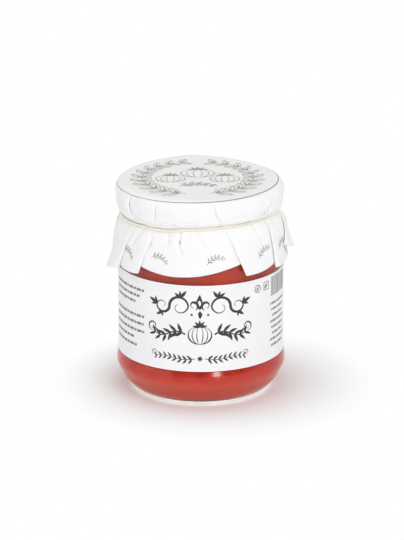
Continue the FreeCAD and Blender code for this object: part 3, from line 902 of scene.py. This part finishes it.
HEM_UNEVEN = 1.4
SHEET_RADIUS = 70.0
COVER_ROUND = 2.4
PAPER = 0.12
CAP_TOP = COVER_TOP - 0.28
CAP_SHIFT = -0.42           # the cap and the string sit a little left of the jar's axis
TIED = 74.8                 # height of the string
BAND = 0.35                 # half the height of the band that it holds
HEM = 55.2                  # height of the usual lowest hem
HEM_FOLD = 1.15
CAP_RADIUS = LID_RADIUS + 0.62
TIED_RADIUS = 31.26
SKIRT_BELLY = (2.5, 2.2)    # how far the skirt springs out under the string, and how fast
SKIRT_FLARE = 0.10

BASE_STOPS = ((CAP_TOP, CAP_RADIUS), (83.5, CAP_RADIUS + 0.25), (LID_EDGE + 0.6, CAP_RADIUS),
              (TIED + 1.1, TIED_RADIUS + 0.8), (TIED + BAND, TIED_RADIUS), (TIED - BAND, TIED_RADIUS))
FOLD_STOPS = ((CAP_TOP - 1.0, 0.0), (82.5, 0.6), (TIED + BAND, 0.15), (TIED - BAND, 0.15),
              (68.2, 0.6), (HEM - 1, HEM_FOLD))
TUCK_STOPS = ((CAP_TOP - 0.9, 0.0), (82.5, 1.1), (TIED, 3.2), (68.2, 4.6), (HEM, 6.8))
# Azimuths where the paper falls away from the lid's edge in a wider round, with how much
# wider it is and over how many degrees.
SLACK = ((138.0, 2.2, 32.0), (-128.0, 0.8, 28.0), (88.0, 0.5, 20.0))
# Azimuth and rise of the string as it was drawn tight round the uneven gathers.
STRING_RISE = ((-180.0, -0.3), (-90.0, -1.6), (-55.0, -0.9), (-30.0, -0.75), (-8.0, 0.45),
               (20.0, 1.1), (50.0, 1.6), (90.0, 0.2), (180.0, -0.3))


def all_pleats():
    pleats = list(FRONT_PLEATS)
    first = FRONT_PLEATS[-1].tied
    last = FRONT_PLEATS[0].tied + 360 - FLAP_WIDTH
    pitch = (last - first) / BACK_PLEATS
    for i in range(1, BACK_PLEATS + 1):
        tied = first + pitch * i + BACK_STRAY * math.sin(2.4 * i)
        rim = tied + BACK_STRAY * math.cos(3.1 * i) / 2
        hem = tied - BACK_SLANT * math.sin(1.7 * i + 0.6)
        rise = HEM_UNEVEN * (0.5 + 0.5 * math.sin(2.2 * i - 1.0))
        pleats.append(Pleat(rim, tied, hem, "left", rise, 0.6, 0.6, 0.9, 0.3))
    pleats[-1] = pleats[-1]._replace(**LEFT_FLAP)
    return pleats


PLEATS = all_pleats()
COUNT = len(PLEATS)

# Dents and ridges in the paper's front: from (azimuth, height) to (azimuth, height), half width and
# depth outward. Those under the string run down the skirt; those above it are the creases
# where the paper turns in under the lid.
FRONT_DENTS = [
    ((-35.4, 73.6), (-37.4, 66.5), 0.6, -0.42), ((-22.6, 73.8), (-23.2, 69.0), 0.5, -0.45),
    ((-14.2, 73.8), (-14.8, 69.8), 0.55, -0.60), ((-14.8, 69.8), (-13.2, 66.0), 0.6, -0.40),
    ((-12.2, 73.0), (-12.9, 67.0), 0.6, 0.26), ((-17.0, 73.0), (-18.6, 68.0), 1.0, 0.22),
    ((-2.0, 73.8), (1.0, 70.0), 0.6, -0.36), ((1.0, 70.0), (3.4, 65.6), 0.5, -0.26),
    ((-5.5, 72.4), (-9.5, 70.2), 0.9, 0.30), ((8.0, 73.0), (10.0, 66.0), 1.4, -0.14),
    ((26.0, 73.4), (31.0, 66.0), 0.8, -0.22), ((37.5, 74.6), (42.5, 67.0), 0.8, 0.26),
    ((40.5, 74.6), (45.5, 67.0), 0.9, -0.24),
    ((64.0, 73.5), (66.0, 68.0), 0.9, -0.20), ((-70.0, 73.0), (-72.0, 62.0), 0.7, 0.08),
    ((-62.0, 73.0), (-66.0, 70.0), 1.0, -0.14), ((-44.5, 74.2), (-52.5, 67.0), 1.2, -0.34),
    ((-31.0, 77.9), (-23.5, 77.9), 0.32, -0.26), ((-23.5, 77.9), (-18.0, 77.1), 0.34, -0.30),
    ((-18.0, 77.1), (-15.2, 75.9), 0.36, -0.34), ((-14.2, 77.8), (-3.0, 78.1), 0.30, -0.20),
    ((-3.0, 78.1), (-4.2, 76.9), 0.34, -0.26), ((0.8, 77.9), (12.5, 78.2), 0.28, -0.13),
    ((-51.5, 78.3), (-44.0, 77.2), 0.40, -0.34), ((-44.0, 77.2), (-37.0, 75.7), 0.42, -0.38),
    ((-49.5, 76.8), (-42.5, 75.4), 0.36, -0.30), ((53.5, 81.2), (49.6, 78.6), 0.40, -0.42),
    ((55.8, 83.5), (51.4, 78.4), 0.55, 0.36), ((34.0, 86.0), (44.6, 80.6), 0.50, 0.10),
    ((49.6, 78.6), (41.0, 78.2), 0.36, -0.26), ((60.0, 84.5), (72.0, 82.0), 0.7, -0.16),
    ((-70.0, 85.0), (-66.0, 79.0), 1.4, -0.18), ((-44.0, 84.0), (-42.0, 78.0), 2.0, 0.12),
]
BACK_DENTS = dict(count=26, start=96, end=272)


def all_dents():
    """The front's dents, and uneven ones over and under the string round the back."""
    dents = list(FRONT_DENTS)
    start, end, last = BACK_DENTS["start"], BACK_DENTS["end"], BACK_DENTS["count"] - 1
    for k in range(last + 1):
        azimuth = start + (end - start) * k / last + 3 * math.sin(5.1 * k)
        top, length = (78.6, 3.4) if k % 2 else (73.4, 5.6)
        dents.append(((azimuth, top), (azimuth + 4 * math.sin(3.3 * k), top - length),
                      0.6 + 0.5 * math.sin(2.3 * k) ** 2, 0.2 * math.sin(1.7 * k + 0.4)))
    return dents


DENTS = all_dents()
DENT_DEPTH = 2.2
ARC = math.radians(1) * CAP_RADIUS      # millimetres to a degree, beside the lid


def aside(azimuth, other):
    """Degrees from one azimuth to another, the short way round."""
    return (azimuth - other + 180) % 360 - 180


def dented(azimuth, height):
    total = 0.0
    for (start, high), (end, low), width, depth in DENTS:
        reach = 3 * width
        if height > max(high, low) + reach or height < min(high, low) - reach:
            continue
        x, y = aside(azimuth, start) * ARC, height - high
        run, fall = (end - start) * ARC, low - high
        if x < min(0, run) - reach or x > max(0, run) + reach:
            continue
        t = share_of((x * run + y * fall) / (run * run + fall * fall))
        total += DENT_DEPTH * depth * bell(math.hypot(x - t * run, y - t * fall), width)
    return total


def relief(azimuth, height):
    """How far the paper's dents and soft waves move its surface outward."""
    held = 1 - bell(height - TIED, 0.8)
    x, y, _ = polar(1, azimuth, 0)
    wave = noise.noise(Vector((x * 4.2, y * 4.2, height * 0.16)))
    fine = noise.noise(Vector((x * 13, y * 13, height * 0.42 + 7)))
    calm = smooth((CAP_TOP - height) / 3)
    return held * calm * (dented(azimuth, height) + 0.22 * wave + 0.06 * fine)


def cover_round(azimuth):
    """Radius of the round at the cap's top edge."""
    return COVER_ROUND + sum(more * bell(aside(azimuth, where), width)
                             for where, more, width in SLACK)


def base_radius(height, azimuth=0.0):
    """Outside of the lowest paper layer, with the round at the top edge."""
    if height < TIED - BAND:
        drop = TIED - BAND - height
        belly, pace = SKIRT_BELLY
        return TIED_RADIUS + belly * (1 - math.exp(-drop / pace)) + SKIRT_FLARE * drop
    radius = stops_at(BASE_STOPS, height)
    size = cover_round(azimuth)
    drop = CAP_TOP - height
    if drop < size:
        radius -= size - math.sqrt(size ** 2 - (size - max(drop, 0)) ** 2)
    return radius


def string_rise(azimuth):
    azimuth = aside(azimuth, 0)
    for (left, low), (right, high) in zip(STRING_RISE, STRING_RISE[1:]):
        if azimuth <= right:
            return low + (high - low) * smooth((azimuth - left) / (right - left))
    return STRING_RISE[-1][1]


def settled(radius, azimuth, height):
    """A point of the paper once the gathers follow the string and the cap sits off centre."""
    gather = bell((height - TIED) / (3.2 if height > TIED else 5.5), 1)
    ridge = bell(aside(azimuth, -172), 13) * smooth((radius - 22) / 9)
    crest = 0.4 * ridge * smooth((height - CAP_TOP + 3) / 3)
    x, y, z = polar(radius, azimuth, height + string_rise(azimuth) * gather + crest)
    return (x + CAP_SHIFT * smooth((height - TIED + 6) / 6), y, z)


def pleat_azimuth(pleat, height):
    bow = -2.4 * bell(height - 80.5, 2.6) if pleat is PLEATS[0] else 0.0
    stops = ((CAP_TOP, pleat.rim), (82.5, pleat.rim), (TIED, pleat.tied), (HEM, pleat.hem))
    return stops_at(stops, height, eased=False) + bow


def pleat_lift(pleat, height):
    usual = stops_at(FOLD_STOPS, height)
    if height > TIED:
        return usual * pleat.cap_fold
    share = (TIED - height) / (TIED - HEM)
    return usual * (1 + (pleat.hem_fold - 1) * share ** 2)


def pleat_tuck(index, height):
    """Degrees that the lower layer runs on under the upper one."""
    depth = stops_at(TUCK_STOPS, height) * PLEATS[index].tuck
    upper = index if PLEATS[index].side == "right" else index - 1
    start = pleat_azimuth(PLEATS[upper % COUNT], height)
    end = pleat_azimuth(PLEATS[(upper + 1) % COUNT], height)
    across = (end - start) % 360
    double = PLEATS[upper % COUNT].side == "right" and PLEATS[(upper + 1) % COUNT].side == "left"
    return min(math.degrees(depth / base_radius(height)), across * (0.42 if double else 0.8))


def panel_edges(index, height):
    """Azimuths of a panel's two seen edges at this height."""
    start = pleat_azimuth(PLEATS[index], height)
    end = pleat_azimuth(PLEATS[(index + 1) % COUNT], height)
    return start, end + (360 if index + 1 == COUNT else 0)


def fold_round(degrees, pleat):
    """The fold's rounded edge: its height at a distance from the edge, as a share."""
    t = share_of(math.radians(degrees) * CAP_RADIUS / pleat.roll)
    return pleat.edge + (1 - pleat.edge) * math.sqrt(1 - (1 - t) ** 2)


def panel_offset(index, azimuth, height):
    """How far a panel stands out from the lowest layer."""
    this, following = PLEATS[index], PLEATS[(index + 1) % COUNT]
    start, end = panel_edges(index, height)
    share = (azimuth - start) / (end - start)
    across = smooth(share)
    offset = math.sin(math.pi * share_of(share)) * stops_at(FOLD_STOPS, height) * 0.25
    offset -= 0.2 * smooth(max(share - 1, -share) * 6)
    if this.flare:
        amount, left, right = this.flare
        drop = max(0.0, (TIED - height) / (TIED - HEM))
        turned = math.sqrt(share_of((1 - share) / right))
        offset += amount * drop ** 4 * smooth(share / left) * turned
    if this.side == "right":
        offset += pleat_lift(this, height) * (1 - across) * fold_round(azimuth - start, this)
    if following.side == "left":
        offset += pleat_lift(following, height) * across * fold_round(end - azimuth, following)
    return offset


def hem_height(index, azimuth, radius):
    """Height of a panel's hem: the round edge of the sheet as it hangs."""
    this = PLEATS[index]
    start, end = panel_edges(index, HEM)
    across = radius * math.sin(math.radians(azimuth - start - (end - start) * this.low))
    reach = min(abs(across), SHEET_RADIUS * 0.9)
    sag = SHEET_RADIUS - math.sqrt(SHEET_RADIUS ** 2 - reach ** 2)
    return HEM + this.rise + sag + this.tilt * across


SKIRT_TOP = 72.0            # below this the rows share out the way to the hem
HEM_RADIUS = base_radius(HEM)


def paper_point(index, azimuth, level):
    """A panel's point. Lower on the skirt the level is a share of the way down to its hem."""
    height = level
    if level < SKIRT_TOP:
        share = (SKIRT_TOP - level) / (SKIRT_TOP - HEM)
        height = SKIRT_TOP - share * (SKIRT_TOP - hem_height(index, azimuth, HEM_RADIUS))
    radius = base_radius(height, azimuth) + panel_offset(index, azimuth, level)
    return radius + relief(azimuth, height), azimuth, height


PANEL_STEP = (0.45, 0.8)    # millimetres between the columns of a front panel and of a back one
MIDDLE = 4                  # strips of the layer that runs back under a fold


def panel_shares(index):
    """Where a panel's columns stand across it: closer together at its two edges."""
    start, end = panel_edges(index, HEM)
    step = PANEL_STEP[len(FRONT_PLEATS) <= index < COUNT - 1]
    count = max(10, round(math.radians(end - start) * HEM_RADIUS / step))
    return [0.45 * k / count + 0.275 * (1 - math.cos(math.pi * k / count))
            for k in range(count + 1)]


COLUMNS = [panel_shares(index) for index in range(COUNT)]


def paper_row(level):
    """One ring of the folded sheet: every panel, and the layer behind each fold."""
    ring = []
    for index in range(COUNT):
        nxt = (index + 1) % COUNT
        start, end = panel_edges(index, level)
        if PLEATS[index].side == "left":
            start -= pleat_tuck(index, level)
        if PLEATS[nxt].side == "right":
            end += pleat_tuck(nxt, level)
        panel = [paper_point(index, start + (end - start) * share, level)
                 for share in COLUMNS[index]]
        if ring:
            ring += back_layer(ring[-1], panel[0])
        ring += panel
    first = ring[0]
    ring += back_layer(ring[-1], (first[0], first[1] + 360, first[2]))
    return [settled(*point) for point in ring]


def back_layer(left, right):
    """Points between one panel's last column and the next one's first."""
    return [tuple(a + (b - a) * k / MIDDLE for a, b in zip(left, right))
            for k in range(1, MIDDLE)]


def paper_levels():
    """Heights of the rows from the top edge down to the hem."""
    levels = [CAP_TOP - COVER_ROUND * (1 - math.cos(math.radians(a))) for a in range(9, 90, 9)]
    spans = ((CAP_TOP - COVER_ROUND, LID_EDGE + 1.6, 13), (LID_EDGE + 1.6, TIED + BAND, 16),
             (TIED + BAND, TIED - BAND, 2), (TIED - BAND, SKIRT_TOP, 8), (SKIRT_TOP, HEM, 34))
    for high, low, steps in spans:
        levels += [high + (low - high) * k / steps for k in range(1, steps + 1)]
    return levels


def top_height(radius, azimuth):
    """The flat top with its soft waves."""
    x, y, _ = polar(radius, azimuth, 0)
    wave = abs(noise.noise(Vector((x * 0.07, y * 0.07, 3.1)))) * 0.16
    calm = smooth(radius / 6) * smooth((29 - radius) / 5)
    return CAP_TOP - 0.03 + wave * calm


TOP_RINGS = 16


def build_cover(material):
    """The folded sheet: rings over the flat top, then the rows of pleats, made paper thick."""
    rows = [paper_row(level) for level in paper_levels()]
    edge = []
    for x, y, _ in rows[0]:
        x -= CAP_SHIFT
        edge.append((math.hypot(x, y), math.degrees(math.atan2(x, -y))))
    rings = []
    for k in range(TOP_RINGS):
        share = k / TOP_RINGS
        rings.append([settled(radius * share, azimuth, top_height(radius * share, azimuth))
                      for radius, azimuth in edge])
    piece = add_piece("folded_paper", "cover", material,
                      Shape().loft(rings + rows, downward=True), "paper_cover",
                      merge=0.02, outward=False, crease=50)
    thick = piece.modifiers.new("paper", "SOLIDIFY")
    thick.thickness = PAPER * MM
    thick.offset = -1


RING_MIDDLE = complex(-1.3, -0.2)
RING_RADIUS = 32.6


def cover_tint(tree, place, base):
    """Inside the printed ring the paper is a touch warmer and greyer."""
    parts = node(tree, "ShaderNodeSeparateXYZ", {0: place}).outputs
    flat = node(tree, "ShaderNodeCombineXYZ", {"X": parts["X"], "Y": parts["Y"]}).outputs[0]
    distance = distance_to(tree, flat, (RING_MIDDLE.real * MM, RING_MIDDLE.imag * MM, 0))
    inside = span(tree, distance, RING_RADIUS * MM, (RING_RADIUS - 0.3) * MM)
    above = span(tree, parts["Z"], (CAP_TOP - 6.0) * MM, (CAP_TOP - 5.6) * MM)
    return mix(tree, times(tree, inside, above), base, (0.92, 0.917, 0.905))


TOP_PRINT_LIFT = 0.05
SKIRT_PRINT_LIFT = 0.04


def cap_radius(azimuth, height):
    """The radius of the paper beside the lid, folds and all."""
    for index in range(COUNT):
        start, end = panel_edges(index, height)
        across = (azimuth - start) % 360
        if across <= end - start:
            return (base_radius(height, azimuth) + relief(azimuth, height)
                    + panel_offset(index, start + across, height))
    return base_radius(height, azimuth)


def on_top(right, back):
    """A point on the cover's top, right and away from the jar's middle."""
    radius = math.hypot(right - CAP_SHIFT, back)
    azimuth = math.degrees(math.atan2(right - CAP_SHIFT, -back))
    height = top_height(radius, azimuth)
    if radius > base_radius(CAP_TOP, azimuth):
        high, low = CAP_TOP, CAP_TOP - cover_round(azimuth)
        for _ in range(14):
            height = (high + low) / 2
            if cap_radius(azimuth, height) < radius:
                high = height
            else:
                low = height
    return settled(radius, azimuth, height + TOP_PRINT_LIFT)


def on_panel(index, azimuth, height):
    """A point just outside a skirt panel."""
    radius = base_radius(height) + panel_offset(index, azimuth, height) + relief(azimuth, height)
    return settled(radius + SKIRT_PRINT_LIFT, azimuth, height)


# The sprigs on the skirt: the panel, counted from the one after the first pleat, and the
# sprig's azimuth, height and lean.
HEM_MARKS = (
    (12, -80.0, 61.2, -34), (0, -55.5, 62.4, -22), (1, -28.0, 63.2, -14), (1, 9.5, 63.6, 16),
    (2, 46.0, 64.0, 24), (3, 67.0, 64.4, 14), (5, 117.5, 62.0, -8), (6, 144.5, 62.0, 10),
    (8, 181.5, 62.0, -12), (9, 211.0, 62.0, 8), (11, 250.0, 62.0, -6),
)


def build_cover_ornament(material):
    """A wreath of branches round three tomatoes and a sprig, and a sprig on most of the skirt's
    panels.
    """
    art = Print()
    for side in (-1, 1):
        branch(art, RING_MIDDLE, 22.5, side * 12, side * 168, 11, 7.6, 0.30)
        tomato(art, RING_MIDDLE + complex(side * 11.0, -1.5), 5.4, 0.34)
    tomato(art, RING_MIDDLE + 6.0j, 6.2, 0.34)
    sprig(art, RING_MIDDLE - 10.5j, 15, 0, 0.45, 0.26, 0.42, 0.28)
    shape = Shape()
    art.lay(shape, on_top)
    for index, azimuth, height, lean in HEM_MARKS:
        mark = Print()
        sprig(mark, 0j, 7.6, lean, 0.30, 0.28, 0.30)

        def surface(right, up, index=index, azimuth=azimuth, height=height):
            return on_panel(index, azimuth + math.degrees(right / HEM_RADIUS), height + up)

        mark.lay(shape, surface)
    add_print("cover_ornament", material, shape)


def build_cover_ring(material):
    """The printed ring round the top, heavier at the front right."""
    top = Print()
    top.stroke([RING_MIDDLE - 1j * RING_RADIUS * ray(2 * k) for k in range(181)],
               lambda t: 0.10 + 0.34 * bell(min(abs(t - 0.14), abs(t - 1.14)), 0.17))
    shape = Shape()
    top.lay(shape, on_top)
    add_print("cover_ring", material, shape)


# --- string ----------------------------------------------------------------------

STRANDS = 2
STRAND_RADIUS = 0.30
STRAND_SIDES = 8
STRAND_ORBIT = 0.29
TWIST_PITCH = 2.6
LOOP_RADIUS = TIED_RADIUS + 0.45
LOOP_STEPS = 1300
KNOT_STEPS = 60
TAIL_STEPS = 40
TAIL_START = TIED - 0.4
TAIL_LENGTH = 8.0
FRAY = 0.35                 # how far a cut end's strands spread


def loop_point(azimuth):
    """The middle of the string as it dips and rises round the gathered paper."""
    sideways = math.sin(math.radians(azimuth)) ** 2
    height = TIED + string_rise(azimuth) + 0.06 * math.sin(math.radians(7 * azimuth))
    radius = LOOP_RADIUS + 0.4 * sideways + 0.05 * math.sin(math.radians(11 * azimuth))
    x, y, z = polar(radius, azimuth, height)
    return Vector((x + CAP_SHIFT, y, z))


def knot_point(back, a):
    """A point of the knot's turns, which stand out behind the loop."""
    return back + Vector((1.5 * math.sin(a) + 0.35 * math.sin(2 * a),
                          0.75 + 0.55 * math.cos(3 * a), 0.95 * math.sin(2 * a + 0.5)))


def tail_point(side, t):
    """A point of a loose end, which hangs just off the skirt and splays sideways."""
    height = TAIL_START - TAIL_LENGTH * t
    azimuth = 180 - side * (1.5 + 9 * t + 2.0 * math.sin(2.6 * t))
    radius = max(base_radius(height) + 1.25 + 0.5 * (1 - t), LOOP_RADIUS + 0.9 * (1 - t))
    return Vector(polar(radius, azimuth, height))


def twisted(shape, path, closed=False, fray=0.0):
    """Strands laid round a path, spread by the fray at its end."""
    lengths = [0.0]
    for here, following in zip(path, path[1:]):
        lengths.append(lengths[-1] + (following - here).length)
    total = lengths[-1] + ((path[0] - path[-1]).length if closed else 0)
    turns = max(1, round(total / TWIST_PITCH)) if closed else total / TWIST_PITCH
    for strand in range(STRANDS):
        points = []
        for i, here in enumerate(path):
            along = direction(path, i, closed)
            normal = Vector((0, 0, 1)) if abs(along.z) < 0.9 else Vector((1, 0, 0))
            normal = (normal - along * normal.dot(along)).normalized()
            side = along.cross(normal)
            angle = 2 * math.pi * (turns * lengths[i] / total + strand / STRANDS)
            spread = STRAND_ORBIT + fray * smooth((lengths[i] / total - 0.82) / 0.18)
            points.append(here + (normal * math.cos(angle) + side * math.sin(angle)) * spread)
        add_tube(shape, points, STRAND_RADIUS, STRAND_SIDES, closed)


def build_string(material):
    """The loop, the knot behind it and the two loose ends."""
    shape = Shape()
    twisted(shape, [loop_point(360 * k / LOOP_STEPS) for k in range(LOOP_STEPS)], closed=True)
    back = loop_point(180)
    twisted(shape, [knot_point(back, 2 * math.pi * k / KNOT_STEPS) for k in range(KNOT_STEPS + 1)])
    for side in (-1, 1):
        twisted(shape, [tail_point(side, k / TAIL_STEPS) for k in range(TAIL_STEPS + 1)], fray=FRAY)
    add_piece("tied_string", "string", material, shape, "string", merge=0.0005)


# --- stage: floor, light and camera ----------------------------------------------

# Metres, apart from the floor's half width, which becomes a mesh.
JAR_MIDDLE = Vector((0, 0, 0.045))
FLOOR = dict(half=3000.0, drop=0.00005, middle=(0.006, 0, 0), fade=(0.033, 0.072))
ROOM_LIGHT = 0.74
ROOM_FRONT = 0.25           # how bright the room in front of the jar is in gloss
# Each soft box: name, azimuth, elevation, distance, width, height and power.
LAMPS = (
    ("key", 30, 45, 1.5, 0.8, 0.8, 4.4),
    ("fill", -60, 9, 1.5, 1.1, 0.9, 3.2),
    ("glint", 21, 4, 1.3, 0.20, 0.16, 1.7),
)
CAMERA = dict(distance=1.5, elevation=18.28, lens=245.3, sensor=36.0, shift=(0.0020, 0.0141))
WHITE = (1, 1, 1)


def camera_sees(tree):
    """1 for the rays that show a background: from the camera, in gloss and through glass."""
    path = node(tree, "ShaderNodeLightPath").outputs
    seen = maths(tree, "MAXIMUM", path["Is Camera Ray"], path["Is Glossy Ray"])
    return maths(tree, "MAXIMUM", seen, path["Is Transmission Ray"])


def build_floor():
    """A pale cloth-white floor that fades into the white background away from the object."""
    half = FLOOR["half"]
    corners = [(-half, -half, 0), (half, -half, 0), (half, half, 0), (-half, half, 0)]
    shape = Shape()
    shape.add(corners, [(0, 1, 2, 3)])
    floor = add_object("floor", shape)
    floor.location.z = -FLOOR["drop"]
    material, tree, shader = new_material("pale_floor")
    fill(tree, shader, {"Base Color": (0.945, 0.937, 0.942), "Roughness": 0.9,
                        "Specular IOR Level": 0.1})
    fade = span(tree, distance_to(tree, place_of(tree), FLOOR["middle"]), *FLOOR["fade"])
    white = node(tree, "ShaderNodeEmission", {"Color": WHITE, "Strength": 1.0})
    both = node(tree, "ShaderNodeMixShader", {0: times(tree, fade, camera_sees(tree)),
                                             1: shader.outputs[0], 2: white.outputs[0]})
    fill(tree, tree.nodes["Material Output"], {"Surface": both.outputs[0]})
    floor.data.materials.append(material)


def build_world():
    """Plain light; the background is white, and gloss sees a darker room on the front side."""
    world = bpy.data.worlds.new("studio")
    bpy.context.scene.world = world
    world.use_nodes = True
    tree = world.node_tree
    tree.nodes.clear()
    gloss = node(tree, "ShaderNodeLightPath").outputs["Is Glossy Ray"]
    along = node(tree, "ShaderNodeTexCoord").outputs["Generated"]
    y = node(tree, "ShaderNodeSeparateXYZ", {0: along}).outputs["Y"]
    room = span(tree, y, -0.5, 0.1, ROOM_FRONT, 1.0)
    shown = maths(tree, "ADD", times(tree, gloss, maths(tree, "SUBTRACT", room, 1.0)), 1.0)
    light = node(tree, "ShaderNodeBackground", {"Color": WHITE, "Strength": ROOM_LIGHT})
    seen = node(tree, "ShaderNodeBackground", {"Color": WHITE, "Strength": shown})
    both = node(tree, "ShaderNodeMixShader", {0: camera_sees(tree), 1: light.outputs[0],
                                             2: seen.outputs[0]})
    node(tree, "ShaderNodeOutputWorld", {"Surface": both.outputs[0]})


def add_lamp(name, azimuth, elevation, distance, width, height, power):
    """A soft box aimed at the jar's middle, out of the camera's sight."""
    data = bpy.data.lights.new(name, "AREA")
    data.shape = "RECTANGLE"
    data.size = width
    data.size_y = height
    data.energy = power
    lamp = bpy.data.objects.new(name, data)
    bpy.context.scene.collection.objects.link(lamp)
    tilt = math.radians(elevation)
    lamp.location = JAR_MIDDLE + Vector(polar(distance * math.cos(tilt), azimuth,
                                              distance * math.sin(tilt)))
    aim = JAR_MIDDLE - lamp.location
    lamp.rotation_euler = aim.to_track_quat("-Z", "Y").to_euler()
    lamp.visible_camera = False


def build_camera():
    """A long lens that looks down on the jar's middle from the front."""
    data = bpy.data.cameras.new("camera")
    data.lens = CAMERA["lens"]
    data.sensor_width = CAMERA["sensor"]
    data.shift_x, data.shift_y = CAMERA["shift"]
    camera = bpy.data.objects.new("camera", data)
    bpy.context.scene.collection.objects.link(camera)
    tilt = math.radians(CAMERA["elevation"])
    camera.location = JAR_MIDDLE + Vector((0, -math.cos(tilt), math.sin(tilt))) * CAMERA["distance"]
    aim = JAR_MIDDLE - camera.location
    camera.rotation_euler = aim.to_track_quat("-Z", "Y").to_euler()
    bpy.context.scene.camera = camera


# --- the whole -------------------------------------------------------------------

build_glass(glass_material())
build_stipple(frost_and_glow_material())
build_sauce(sauce_material())
build_label(paper_material("label_paper", (0.90, 0.905, 0.925), label_tint, 0.5))
build_label_ornament(ink_material("title_ink", (0.055, 0.042, 0.042)))
build_small_print(ink_material("small_ink", (0.21, 0.20, 0.20)))
build_cover(paper_material("cover_paper", (0.925, 0.925, 0.935), cover_tint, 0.62))
build_cover_ornament(ink_material("cover_ink", (0.38, 0.37, 0.352)))
build_cover_ring(ink_material("cover_dark_ink", (0.26, 0.26, 0.27)))
build_string(string_material())
build_lid(lid_material())

build_floor()
build_world()
for lamp in LAMPS:
    add_lamp(*lamp)
build_camera()
bpy.context.scene.view_settings.view_transform = "Standard"
